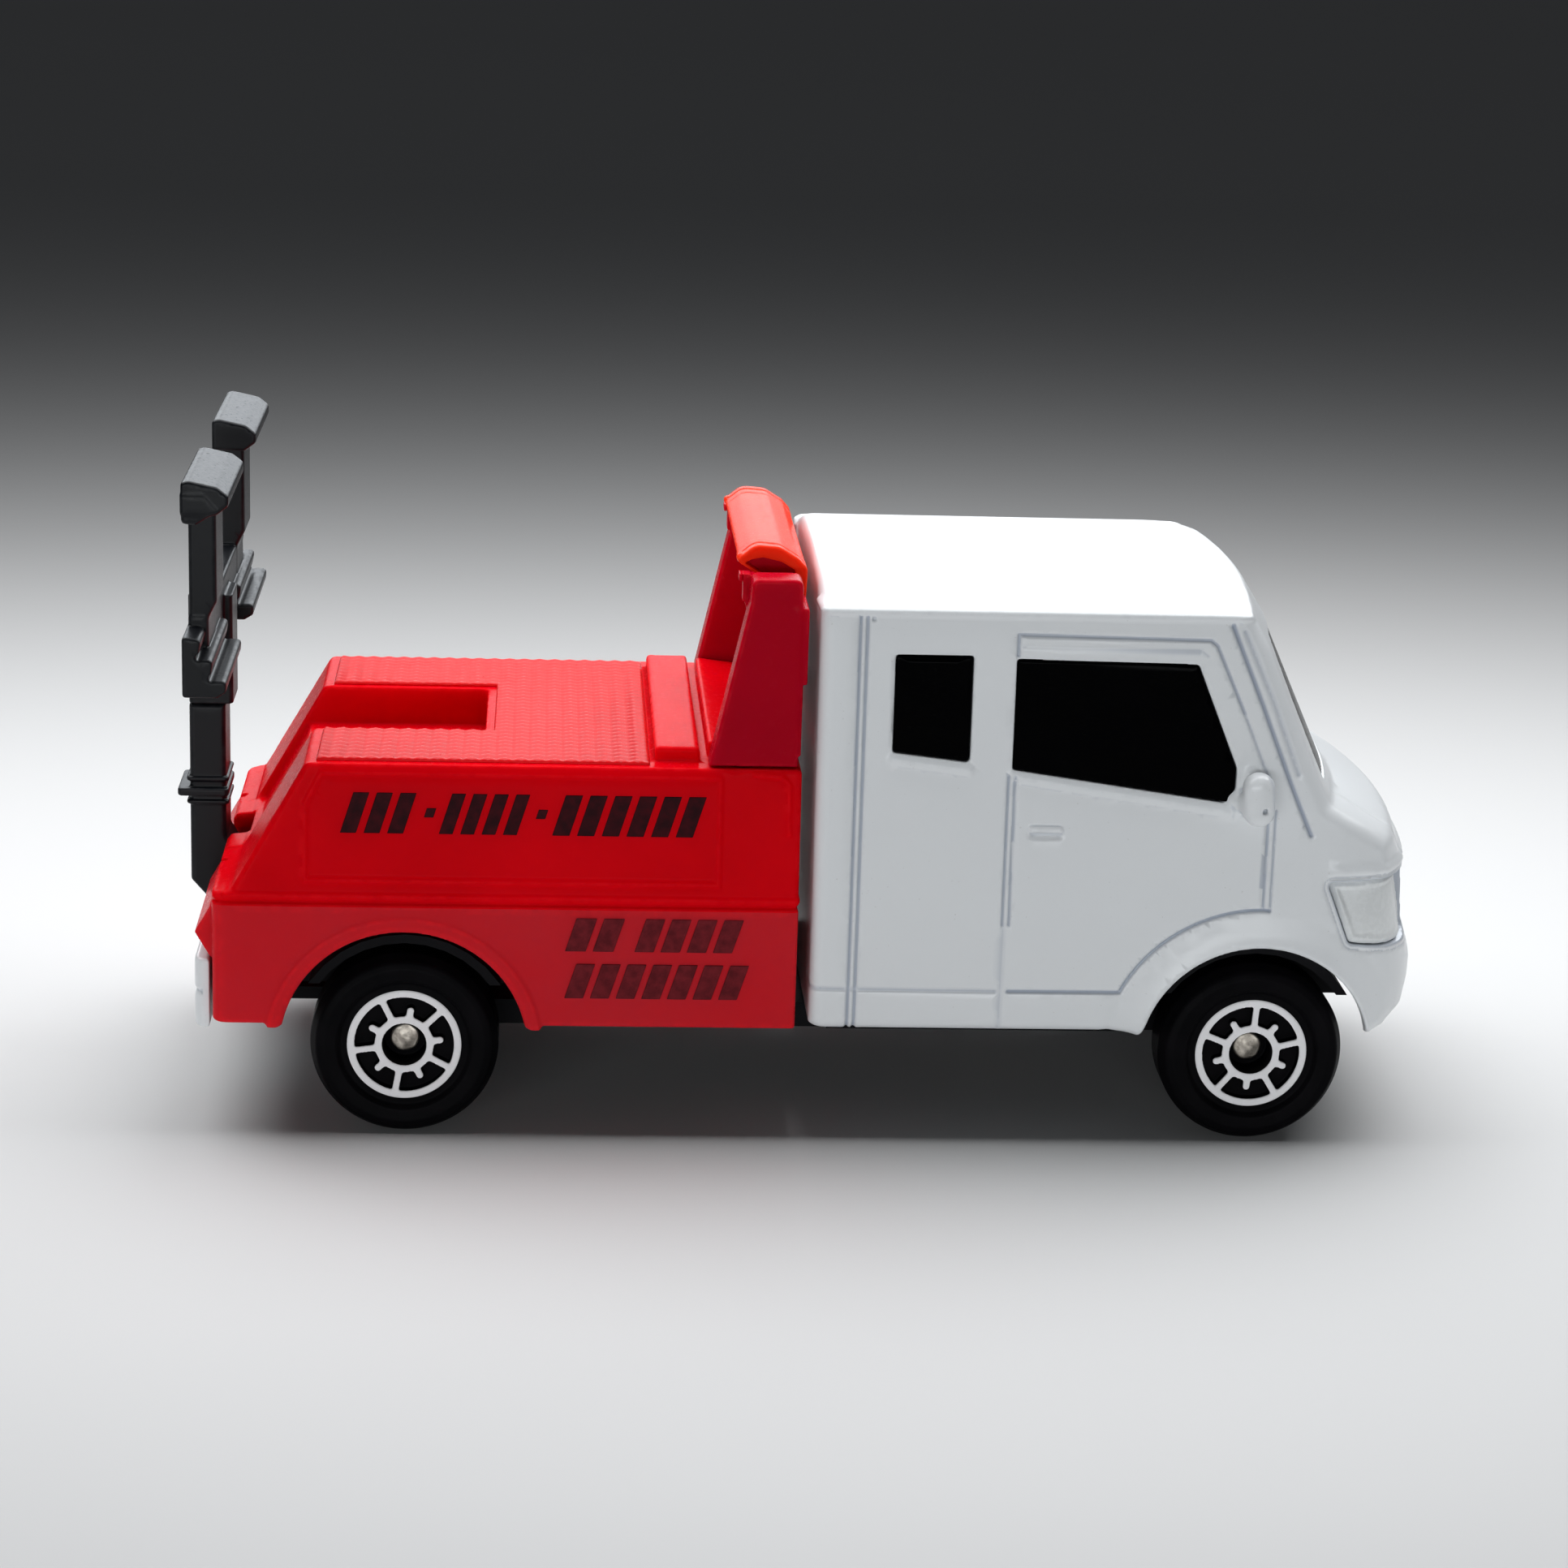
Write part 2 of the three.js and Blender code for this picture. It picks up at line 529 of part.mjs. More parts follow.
for (const [end, x, post] of [['front', FRONT_AXLE_X, POSTS[0]], ['rear', REAR_AXLE_X, POSTS[1]]]) {
  add(`${end}_rivet`, rivet(post), 'steel');
  add(`${end}_axle`, axle(), 'steel', { position: [x, 0, WHEEL.radius] });
  for (const [side, sign] of [['left', 1], ['right', -1]]) {
    add(`${end}_${side}_wheel`, wheel(), 'blackPlastic', {
      position: [x, sign * (WHEEL.face - WHEEL.width), WHEEL.radius],
      turn: sign > 0 ? 0 : Math.PI,
    });
  }
}

export default group;
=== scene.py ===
"""A toy tow truck: a die-cast crew cab, a moulded red bed with a gantry and light bar, and a wheel-lift boom.

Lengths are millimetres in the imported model's frame: +X is forward, +Y is the truck's left, +Z is up and
Z = 0 is the ground. Each moulding is shaped as a field of distances to its surface, negative inside, on a
fine grid. So its edges are rounded and its engraved lines are soft, as a mould leaves them. The field's
surface is then turned into a mesh.
"""

import functools
import math

import bpy
import numpy as np
import openvdb
from mathutils import Matrix, Vector

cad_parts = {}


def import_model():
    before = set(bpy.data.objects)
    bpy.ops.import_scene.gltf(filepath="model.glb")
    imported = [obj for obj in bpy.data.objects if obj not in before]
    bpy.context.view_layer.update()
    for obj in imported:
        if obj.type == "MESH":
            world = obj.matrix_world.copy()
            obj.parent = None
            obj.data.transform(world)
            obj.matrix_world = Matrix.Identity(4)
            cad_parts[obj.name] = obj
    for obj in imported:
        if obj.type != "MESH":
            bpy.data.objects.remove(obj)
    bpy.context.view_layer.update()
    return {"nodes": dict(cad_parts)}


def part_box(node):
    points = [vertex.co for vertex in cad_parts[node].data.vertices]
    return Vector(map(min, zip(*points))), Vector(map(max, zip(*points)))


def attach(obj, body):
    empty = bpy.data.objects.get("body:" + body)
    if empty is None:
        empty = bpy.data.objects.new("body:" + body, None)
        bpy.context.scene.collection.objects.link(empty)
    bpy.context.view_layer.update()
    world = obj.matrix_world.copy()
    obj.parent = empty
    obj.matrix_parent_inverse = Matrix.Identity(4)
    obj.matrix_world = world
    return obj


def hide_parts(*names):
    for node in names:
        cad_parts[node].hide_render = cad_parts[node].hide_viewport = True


MM = 0.001
EMPTY = 9.0  # a distance that stands for nothing near

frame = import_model()

# ---- Camera ----

CAMERA_PLACE = Vector((-16.186, -224.826, 82.416)) * MM
CAMERA_AZIMUTH, CAMERA_ELEVATION, CAMERA_ROLL = (math.radians(a) for a in (3.9256, 15.753, 1.9329))
CAMERA_LENS, SENSOR = 83.85, 36.0


def make_camera():
    camera = bpy.data.objects.new("camera", bpy.data.cameras.new("camera"))
    bpy.context.scene.collection.objects.link(camera)
    bpy.context.scene.camera = camera
    camera.data.lens = CAMERA_LENS
    camera.data.sensor_width = SENSOR
    camera.data.clip_start, camera.data.clip_end = 0.01, 20.0
    az, el = CAMERA_AZIMUTH, CAMERA_ELEVATION
    forward = Vector((math.sin(az) * math.cos(el), math.cos(az) * math.cos(el), -math.sin(el)))
    level = Vector((math.cos(az), -math.sin(az), 0.0))
    upright = level.cross(forward)
    right = level * math.cos(CAMERA_ROLL) + upright * math.sin(CAMERA_ROLL)
    up = upright * math.cos(CAMERA_ROLL) - level * math.sin(CAMERA_ROLL)
    turn = Matrix((right, up, -forward)).transposed().to_4x4()
    camera.matrix_world = Matrix.Translation(CAMERA_PLACE) @ turn


make_camera()

# ---- Distances ----
# Each function takes the coordinates of the grid's points and gives distances, negative inside.


def meet(a, b, r=0.0):
    """The overlap of two shapes, with its edge rounded to radius r."""
    if r == 0.0:
        return np.maximum(a, b)
    u, v = np.maximum(a + r, 0), np.maximum(b + r, 0)
    return np.minimum(np.maximum(a, b), -r) + np.sqrt(u * u + v * v)


def join(a, b, r=0.0):
    """Two shapes together, with a fillet of radius r between them."""
    return -meet(-a, -b, r)


def overlap(*shapes):
    """The overlap of several shapes, with sharp edges."""
    return functools.reduce(np.maximum, shapes)


def polygon(points, u, v):
    """Distance to a closed outline in the plane of u and v."""
    u, v = np.broadcast_arrays(u, v)
    nearest = np.full(u.shape, 1e9, np.float32)
    inside = np.zeros(u.shape, bool)
    for (ax, ay), (bx, by) in zip(points, points[1:] + points[:1]):
        ex, ey = bx - ax, by - ay
        share = np.clip(((u - ax) * ex + (v - ay) * ey) / max(ex * ex + ey * ey, 1e-12), 0, 1)
        nearest = np.minimum(nearest, (u - ax - ex * share) ** 2 + (v - ay - ey * share) ** 2)
        if ey != 0:
            inside ^= ((ay <= v) != (by <= v)) & (u < ax + (v - ay) * ex / ey)
    return (np.where(inside, -1, 1) * np.sqrt(nearest)).astype(np.float32)


def line(points, u, v):
    """Distance to an open line of straight stretches in the plane of u and v."""
    u, v = np.broadcast_arrays(u, v)
    nearest = np.full(u.shape, 1e9, np.float32)
    for (ax, ay), (bx, by) in zip(points, points[1:]):
        ex, ey = bx - ax, by - ay
        share = np.clip(((u - ax) * ex + (v - ay) * ey) / (ex * ex + ey * ey), 0, 1)
        nearest = np.minimum(nearest, (u - ax - ex * share) ** 2 + (v - ay - ey * share) ** 2)
    return np.sqrt(nearest)


def between(low, high, t):
    """Distance to the slab between two values of one coordinate."""
    return np.abs(t - (low + high) / 2) - (high - low) / 2


def radius_from(u, v, cu, cv):
    return np.sqrt((u - cu) ** 2 + (v - cv) ** 2)


def capsule(a, b, radius, x, y, z):
    """Distance to a round-ended bar from point a to point b."""
    ex, ey, ez = (q - p for p, q in zip(a, b))
    px, py, pz = x - a[0], y - a[1], z - a[2]
    share = np.clip((px * ex + py * ey + pz * ez) / (ex * ex + ey * ey + ez * ez), 0, 1)
    return np.sqrt((px - ex * share) ** 2 + (py - ey * share) ** 2 + (pz - ez * share) ** 2) - radius


def bump(distance, half_width):
    """1 on a line and 0 at half_width from it, with a smooth slope between."""
    t = np.clip(1 - distance / half_width, 0, 1)
    return t * t * (3 - 2 * t)


def arc(cx, cy, radius, start, end, steps):
    angles = np.radians(np.linspace(start, end, steps + 1))
    return [(cx + radius * math.cos(a), cy + radius * math.sin(a)) for a in angles]


def rounded(corners, steps=6):
    """A closed outline whose corners (x, y, r) are rounded to radius r."""
    points = []
    for i, (x, y, *r) in enumerate(corners):
        if not r:
            points.append((x, y))
            continue
        here = Vector((x, y))
        before = (Vector(corners[i - 1][:2]) - here).normalized()
        after = (Vector(corners[(i + 1) % len(corners)][:2]) - here).normalized()
        back = r[0] / math.tan(before.angle(after) / 2)
        start, end = here + before * back, here + after * back
        for step in range(steps + 1):
            t = step / steps
            points.append(tuple(start * (1 - t) ** 2 + here * (2 * t * (1 - t)) + end * t * t))
    return points


def outline(corners, u, v):
    """Distance to a closed outline with rounded corners in the plane of u and v."""
    return polygon(rounded(corners), u, v)


def prism(corners, low, high, r):
    """An outline in x and z drawn out from one y to another, with its end edges rounded."""
    return lambda x, y, z: meet(outline(corners, x, z), between(low, high, y), r)


def block(x_span, y_span, z_span):
    """A sharp box."""
    return lambda x, y, z: overlap(between(*x_span, x), between(*y_span, y), between(*z_span, z))


def bore(cx, cz, radius):
    """A round hole along the Y axis."""
    return lambda x, y, z: radius_from(x, z, cx, cz) - radius + 0 * y


def mirrored(half):
    """A closed outline from its half at positive first coordinate."""
    return list(half) + [(-u, *rest) for u, *rest in reversed(half)]


def rows_at(table, at):
    """A table's rows at places between its own."""
    first = np.clip(at.astype(int), 0, len(table) - 2)
    share = (at - first)[..., None].astype(np.float32)
    return table[first] * (1 - share) + table[first + 1] * share


def lathe(clay, profile, reach, step):
    """The field of a body turned about the Y axis, from its outline of radius and y."""
    radii = np.arange(0, reach, step, dtype=np.float32)
    table = polygon(profile, radii[:, None], clay.y[0, :, 0][None, :])
    return np.swapaxes(rows_at(table, np.hypot(clay.x, clay.z)[:, 0, :] / step), 1, 2)


class Clay:
    """One moulding as a grid of distances. A mirrored one samples y >= 0 only, for both sides."""

    def __init__(self, low, high, step, mirror=True):
        low = [low[0], 0.0 if mirror else low[1], low[2]]
        self.low, self.step, self.mirror = np.array(low, float), step, mirror
        counts = [int(math.ceil((end - start) / step)) + 1 for start, end in zip(low, high)]
        x, y, z = (
            np.float32(start) + np.float32(step) * np.arange(count, dtype=np.float32)
            for start, count in zip(low, counts))
        self.x, self.y, self.z = x[:, None, None], y[None, :, None], z[None, None, :]
        self.d = np.full(counts, EMPTY, np.float32)

    @classmethod
    def around(cls, node, margin, step):
        """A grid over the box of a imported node, and a margin round it."""
        low, high = box_mm(node)
        return cls(low - Vector(margin), high + Vector(margin), step)

    def cuts(self, near):
        """The grid's slices for a box ((x0, x1), (y0, y1), (z0, z1)), or for all of it."""
        if near is None:
            return (slice(None),) * 3
        cuts = []
        for axis, (start, end) in enumerate(near):
            first = max(int((start - self.low[axis]) / self.step), 0)
            cuts.append(slice(first, max(int((end - self.low[axis]) / self.step) + 2, first + 1)))
        return tuple(cuts)

    def part(self, near):
        """The part of the grid inside a box, to work on it alone."""
        cuts = self.cuts(near)
        return self.d[cuts], self.x[cuts[0]], self.y[:, cuts[1]], self.z[:, :, cuts[2]]

    def add(self, shape, r=0.0, near=None):
        d, x, y, z = self.part(near)
        d[...] = join(d, shape(x, y, z), r)

    def cut(self, shape, r=0.0, near=None):
        d, x, y, z = self.part(near)
        d[...] = meet(d, -shape(x, y, z), r)

    def raise_by(self, height, near=None):
        """Moves the surface out by a height, which is a function of the place. Negative engraves it."""
        d, x, y, z = self.part(near)
        d -= height(x, y, z)

    def mesh(self, name, adaptivity=0.0, shadow=None):
        """The surface as a mesh in metres, made of small quads, which merge where it is flat.

        A shadow function gives the painted shade at each point, from 0 to 1, as how far it lies in an
        engraved line.
        """
        d, low = self.d, self.low.copy()
        if self.mirror:
            d = np.concatenate([d[:, :0:-1], d], axis=1)
            low[1] = -(self.d.shape[1] - 1) * self.step
        band = 3 * self.step
        grid = openvdb.FloatGrid(band)
        grid.copyFromArray(np.ascontiguousarray(np.clip(d, -band, band)))
        points, triangles, quads = grid.convertToPolygons(isovalue=0.0, adaptivity=adaptivity)
        normals, bend = field_shape(d, points, self.step)
        points = points * self.step + low
        mesh = build_mesh(name, points * MM, triangles, quads)
        mesh.normals_split_custom_set_from_vertices(normals)
        record(mesh, "bend", bend)
        # The shadow function's painted shade is recorded for each point, for the material to darken.
        if shadow:
            record(mesh, "engraved", shadow(points[:, 0], np.abs(points[:, 1]), points[:, 2]))
        return mesh


def record(mesh, name, values):
    """Keeps a value for each point of a mesh, for its material to read."""
    attribute = mesh.attributes.new(name, "FLOAT", "POINT")
    attribute.data.foreach_set("value", values.astype(np.float32))


def sampled(d, at):
    """A grid's values between its points, at places in grid steps."""
    at = np.clip(at, 0, np.array(d.shape) - 1.001)
    low = at.astype(int)
    share = at - low
    total = 0.0
    for corner in np.ndindex(2, 2, 2):
        weight = np.prod(np.where(corner, share, 1 - share), axis=1)
        total = total + weight * d[tuple((low + corner).T)]
    return total


def field_shape(d, at, step):
    """A surface's normals, and how sharply it bends in 1/mm: positive on edges, negative in creases."""
    slopes, bend = [], -6 * sampled(d, at)
    for axis in np.eye(3):
        slopes.append(sampled(d, at + axis / 2) - sampled(d, at - axis / 2))
        bend = bend + sampled(d, at + axis) + sampled(d, at - axis)
    normals = np.stack(slopes, 1)
    normals /= np.maximum(np.linalg.norm(normals, axis=1, keepdims=True), 1e-9)
    return normals, bend / step ** 2


def build_mesh(name, points, triangles, quads):
    corners = np.concatenate([triangles.ravel(), quads.ravel()]).astype(np.int32)
    counts = np.concatenate([np.full(len(triangles), 3), np.full(len(quads), 4)])
    starts = np.concatenate([[0], np.cumsum(counts)[:-1]]).astype(np.int32)
    mesh = bpy.data.meshes.new(name)
    mesh.vertices.add(len(points))
    mesh.vertices.foreach_set("co", points.astype(np.float32).ravel())
    mesh.loops.add(len(corners))
    mesh.loops.foreach_set("vertex_index", corners)
    mesh.polygons.add(len(counts))
    mesh.polygons.foreach_set("loop_start", starts)
    mesh.update(calc_edges=True)
    mesh.validate()
    mesh.shade_smooth()
    return mesh


def place(mesh, body, material, slot=None, replaces=(), matrix=None):
    """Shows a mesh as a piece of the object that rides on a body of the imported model."""
    mesh.materials.clear()
    mesh.materials.append(material)
    piece = bpy.data.objects.new(mesh.name, mesh)
    bpy.context.scene.collection.objects.link(piece)
    if matrix is not None:
        piece.matrix_world = matrix
    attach(piece, body)
    if replaces:
        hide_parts(*replaces)
    return piece


def box_mm(node):
    low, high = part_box(node)
    return low / MM, high / MM


# ---- Driving dimensions ----

WHEEL_RADIUS = 5.75
FRONT_AXLE_X = sum(v.x for v in box_mm("front_axle")) / 2
REAR_AXLE_X = sum(v.x for v in box_mm("rear_axle")) / 2
HALF_WIDTH = 14.5
SKIRT_Z = 7.3
WALL = 1.2


# ---- Materials ----


class Surface:
    """A procedural material: a Principled shader and the nodes that vary it over the surface."""

    def __init__(self, name, **values):
        self.material = bpy.data.materials.new(name)
        self.material.use_nodes = True
        self.nodes, self.links = self.material.node_tree.nodes, self.material.node_tree.links
        self.shader = self.nodes["Principled BSDF"]
        self.place = self.nodes.new("ShaderNodeTexCoord").outputs["Object"]
        for socket, value in values.items():
            self.shader.inputs[socket.replace("_", " ")].default_value = value

    def link(self, source, target):
        self.links.new(source, target)

    def stretched(self, scale):
        """Object coordinates, stretched by a scale for each axis."""
        node = self.nodes.new("ShaderNodeMapping")
        node.inputs["Scale"].default_value = scale
        self.link(self.place, node.inputs["Vector"])
        return node.outputs["Vector"]

    def noise(self, size_mm, detail=3.0, roughness=0.55, place=None):
        """Noise whose grains are about size_mm across, from 0 to 1."""
        node = self.nodes.new("ShaderNodeTexNoise")
        node.inputs["Scale"].default_value = 1 / (size_mm * MM)
        node.inputs["Detail"].default_value = detail
        node.inputs["Roughness"].default_value = roughness
        self.link(place or self.place, node.inputs["Vector"])
        return node.outputs["Fac"]

    def ramp(self, source, *stops):
        """Maps a value to colours or greys: each stop is (position, colour or grey)."""
        node = self.nodes.new("ShaderNodeValToRGB")
        elements = node.color_ramp.elements
        while len(elements) < len(stops):
            elements.new(0.5)
        for element, (position, shade) in zip(elements, stops):
            element.position = position
            element.color = (*shade, 1.0) if hasattr(shade, "__len__") else (shade, shade, shade, 1.0)
        self.link(source, node.inputs["Fac"])
        return node.outputs["Color"]

    def rise(self, source, low, high):
        """0 up to a low value and 1 from a high one."""
        return self.ramp(source, (low, 0.0), (high, 1.0))

    def times(self, a, b, clamp=False):
        return self.math("MULTIPLY", a, b, clamp)

    def plus(self, a, b, clamp=False):
        return self.math("ADD", a, b, clamp)

    def math(self, operation, a, b=0.0, clamp=False):
        node = self.nodes.new("ShaderNodeMath")
        node.operation, node.use_clamp = operation, clamp
        for socket, value in zip(node.inputs, (a, b)):
            if isinstance(value, (int, float)):
                socket.default_value = value
            else:
                self.link(value, socket)
        return node.outputs["Value"]

    def mix(self, share, a, b):
        """Mixes two colours, each a colour or a socket."""
        node = self.nodes.new("ShaderNodeMix")
        node.data_type = "RGBA"
        self.link(share, node.inputs["Factor"])
        for socket, value in ((node.inputs[6], a), (node.inputs[7], b)):
            if hasattr(value, "__len__"):
                socket.default_value = (*value, 1.0)
            else:
                self.link(value, socket)
        return node.outputs[2]

    def coordinates(self):
        split = self.nodes.new("ShaderNodeSeparateXYZ")
        self.link(self.place, split.inputs["Vector"])
        return split.outputs

    def below(self, level_mm):
        """1 below a level of the object and 0 above it."""
        return self.math("LESS_THAN", self.coordinates()[2], level_mm * MM)

    def recorded(self, name):
        """A value that the moulding's mesh records for each of its points."""
        node = self.nodes.new("ShaderNodeAttribute")
        node.attribute_name = name
        return node.outputs["Fac"]

    def bent(self, low, high):
        """0 at one bend and 1 at another, in 1/mm: positive bends are edges and negative ones creases."""
        steepness = self.math("SUBTRACT", self.recorded("bend"), low)
        return self.times(steepness, 1 / (high - low), clamp=True)

    def bump(self, heights):
        """Bump from (height socket, distance in mm, strength), one over the other."""
        normal = None
        for height, distance_mm, strength in heights:
            node = self.nodes.new("ShaderNodeBump")
            node.inputs["Distance"].default_value = distance_mm * MM
            node.inputs["Strength"].default_value = strength
            self.link(height, node.inputs["Height"])
            if normal:
                self.link(normal, node.inputs["Normal"])
            normal = node.outputs["Normal"]
        self.link(normal, self.shader.inputs["Normal"])

    def finish(self, colour, roughness):
        self.link(colour, self.shader.inputs["Base Color"])
        self.link(roughness, self.shader.inputs["Roughness"])
        return self.material


def scratches(surface, direction, size_mm=0.35, low=0.62, high=0.7):
    """Fine handling marks: thin streaks where a stretched noise peaks. 0 to 1."""
    streaks = surface.noise(size_mm, 2.0, 0.5, surface.stretched(direction))
    return surface.rise(streaks, low, high)


def moulded(name, colour, tint, roughness, peel=0.006, grain_mm=0.5, wear=0.25, hazy=None, **values):
    """Moulded plastic: slow changes of tone, fine grain, faint scratches and rubbed edges.

    Where a level in mm and a tone are given, the sides below that level are mottled towards the tone: a
    painted reflection of the floor.
    """
    s = Surface(name, **values)
    cloud = s.noise(9.0, 3.0)
    tone = s.mix(s.rise(cloud, 0.35, 0.7), colour, tint)
    if hazy:
        # Painted reflection of the floor on the lower sides, mottled by the cloud noise.
        level, floor_reflection_tone = hazy
        tone = s.mix(s.times(s.below(level), s.ramp(cloud, (0.2, 0.6), (0.7, 1.0))), tone, floor_reflection_tone)
    rubbed = s.times(s.bent(0.8, 3.0), s.rise(s.noise(0.8), 0.4, 0.65))
    pale = [min(c * 1.35 + 0.012, 1.0) for c in tint]
    tone = s.mix(s.times(rubbed, wear), tone, pale)
    marks = scratches(s, (1.0, 1.0, 9.0))
    fine = s.noise(grain_mm, 1.5, 0.5)
    rough = s.plus(roughness - 0.05, s.times(fine, 0.1))
    rough = s.plus(rough, s.times(marks, 0.12))
    rough = s.plus(rough, s.times(rubbed, 0.1), clamp=True)
    s.bump([(s.noise(4.5, 1.0), 0.014, 0.25), (fine, peel, 0.3), (marks, 0.002, 0.4)])
    return s.finish(tone, rough)


def glowing(name, colour, tint, roughness, specular, blue=0.0001, weight=0.4, wear=0.2, **values):
    """Red plastic that lets some light through, which its thin parts show."""
    return moulded(
        name, colour, tint, roughness, peel=0.0015, wear=wear, Subsurface_Weight=weight,
        Subsurface_Radius=(0.0022, blue + 0.0001, blue), Subsurface_Scale=1.0,
        Specular_IOR_Level=specular, **values)


def enamel():
    """Sprayed white enamel: soft orange peel, painted shade in the creases and grooves, thinner on the edges.
    """
    s = Surface("white_enamel", Coat_Weight=0.25, Coat_Roughness=0.2, IOR=1.45)
    tone = s.mix(s.rise(s.noise(14.0, 1.0), 0.3, 0.7), (0.78, 0.8, 0.815), (0.79, 0.81, 0.823))
    # Painted shade: bluish grey where the surface bends inwards, in its creases.
    tone = s.mix(s.times(s.bent(-1.5, -4.0), 0.4), tone, (0.36, 0.4, 0.47))
    # Painted shade: bluish grey in the grooves and round the lamps, from the value the cab's mesh records.
    tone = s.mix(s.times(s.recorded("engraved"), 0.75), tone, (0.27, 0.32, 0.42))
    specks = s.rise(s.noise(0.22, 1.0), 0.76, 0.8)
    tone = s.mix(s.times(specks, 0.3), tone, (0.45, 0.44, 0.42))
    thin = s.times(s.bent(1.2, 4.0), s.rise(s.noise(0.7), 0.5, 0.7))
    tone = s.mix(s.times(thin, 0.25), tone, (0.6, 0.62, 0.64))
    rough = s.plus(0.26, s.times(s.noise(2.5), 0.1))
    s.bump([(s.noise(6.0, 1.0), 0.012, 0.2), (s.noise(0.9, 1.0), 0.003, 0.3)])
    return s.finish(tone, rough)


def glossy_black():
    """The window moulding: polished and nearly black, with dust and hairline marks."""
    s = Surface("window_black", Specular_IOR_Level=0.015)
    dust = s.rise(s.noise(0.15, 2.0), 0.66, 0.8)
    tone = s.mix(s.times(dust, 0.25), (0.0008, 0.0008, 0.001), (0.008, 0.008, 0.009))
    rough = s.plus(0.12, s.times(s.noise(1.8), 0.1))
    rough = s.plus(rough, s.times(scratches(s, (1.0, 1.0, 7.0)), 0.2))
    s.bump([(s.noise(6.0, 2.0), 0.02, 0.2), (dust, 0.003, 0.5)])
    return s.finish(tone, rough)


def metal(name, colour, tint, roughness, streak, metallic=1.0):
    """Bare or coated metal with drawing marks along one direction and dull spots."""
    s = Surface(name, Metallic=metallic)
    spots = s.rise(s.noise(0.3, 4.0), 0.42, 0.62)
    tone = s.mix(spots, colour, tint)
    lines = s.noise(0.12, 2.0, 0.5, s.stretched(streak))
    rough = s.plus(roughness, s.times(lines, 0.2))
    rough = s.plus(rough, s.times(spots, 0.12), clamp=True)
    s.bump([(lines, 0.006, 0.5), (spots, 0.008, 0.4)])
    return s.finish(tone, rough)


def thin_ink():
    """Black print thin enough for the red to show through, and lighter and redder below the belt line."""
    s = Surface("print_ink", Specular_IOR_Level=0.05)
    thin = s.rise(s.noise(0.6), 0.35, 0.7)
    upper_tone = s.mix(thin, (0.02, 0.001, 0.003), (0.05, 0.002, 0.005))
    lower_tone = s.mix(thin, (0.1, 0.008, 0.012), (0.18, 0.014, 0.02))
    tone = s.mix(s.below(BED_BELT), upper_tone, lower_tone)
    rough = s.plus(0.36, s.times(s.noise(0.3), 0.15))
    s.bump([(thin, 0.003, 0.4)])
    return s.finish(tone, rough)


def wheel_black():
    """The wheel's black plastic, with white print on the raised faces of its hub."""
    s = Surface("wheel_black_and_print", Specular_IOR_Level=0.03)
    x, y, z = s.coordinates()
    squares = s.plus(s.times(x, x), s.times(z, z))
    radius = s.math("SQRT", squares)
    ragged = s.times(s.math("SUBTRACT", s.noise(0.3, 3.0), 0.5), 0.05 * MM)
    raised = s.math("GREATER_THAN", s.plus(y, ragged), (HUB_FACE - 0.1) * MM)
    in_ring = s.math("LESS_THAN", radius, (HUB_RING + 0.06) * MM)
    out_of_hole = s.math("GREATER_THAN", radius, (HUB_HOLE + 0.03) * MM)
    printed = s.times(s.times(raised, in_ring), out_of_hole)
    cloud = s.rise(s.noise(2.5), 0.35, 0.7)
    black = s.mix(cloud, (0.002, 0.002, 0.0025), (0.004, 0.0035, 0.0045))
    worn = s.times(s.rise(s.noise(0.25, 3.0), 0.62, 0.74), 0.35)
    white = s.mix(worn, (0.93, 0.92, 0.93), (0.66, 0.65, 0.65))
    tone = s.mix(printed, black, white)
    fine = s.noise(0.25, 3.0)
    rough = s.plus(0.34, s.times(fine, 0.22))
    s.bump([(s.noise(2.0, 2.0), 0.02, 0.3), (fine, 0.006, 0.5), (printed, 0.012, 0.5)])
    return s.finish(tone, rough)


# ---- Cab ----

CAB_STEP = 0.12
CAB_BOW = 2.0  # how far the cab's front corners lie behind its middle
CAB_REAR, CAB_NOSE, CAB_ROOF, CAB_CREASE = -0.15, 39.1, 35.7, 14.3

CAB_SIDE = [
    (CAB_REAR, SKIRT_Z), (37.75, SKIRT_Z, 0.4), (38.8, 8.3, 0.6), (CAB_NOSE, 10.0, 0.8),
    (CAB_NOSE, 11.4, 0.8), (38.5, 13.2, 0.5), (38.2, 17.5, 0.5), (37.4, 19.6, 1.3), (33.4, 21.9, 1.0),
    (28.9, 31.5, 1.4), (27.2, 34.1, 1.3), (23.6, CAB_ROOF, 2.4), (CAB_REAR, CAB_ROOF, 1.4),
]
ROOF_ARCH = [(y, CAB_ROOF - y * y / 83.0) for y in (12.6, 11, 9, 7, 5, 3, 1)]
CAB_FRONT = mirrored([(HALF_WIDTH, 0.0), (HALF_WIDTH, CAB_CREASE, 2.2), (13.68, 33.75, 0.5), *ROOF_ARCH])
CAB_PLAN = [
    (CAB_REAR, -30.0), (34.6, -HALF_WIDTH - 0.01, 2.4), (40.0, -10.2, 2.8), (40.0, 10.2, 2.8),
    (34.6, HALF_WIDTH + 0.01, 2.4), (CAB_REAR, 30.0),
]

REAR_WINDOW = [(4.75, 24.85, 0.15), (9.45, 24.3, 0.3), (9.45, 30.85, 0.15), (4.75, 30.85, 0.15)]
FRONT_WINDOW = [
    (12.05, 23.9, 0.15), (25.7, 21.95, 0.3), (25.72, 24.2, 0.8), (23.05, 30.55, 0.25), (12.05, 30.7, 0.15),
]
WINDSCREEN = mirrored([(11.9, 22.9, 0.9), (11.0, 31.6, 0.9)])
LAMP_SIDE = [(33.3, 13.2, 0.45), (45.0, 11.6), (45.0, 17.6), (31.7, 17.15, 0.35)]
LAMP_INNER = 8.6
GRILLE = mirrored([(7.6, 13.8, 0.4), (7.6, 17.0, 0.4)])

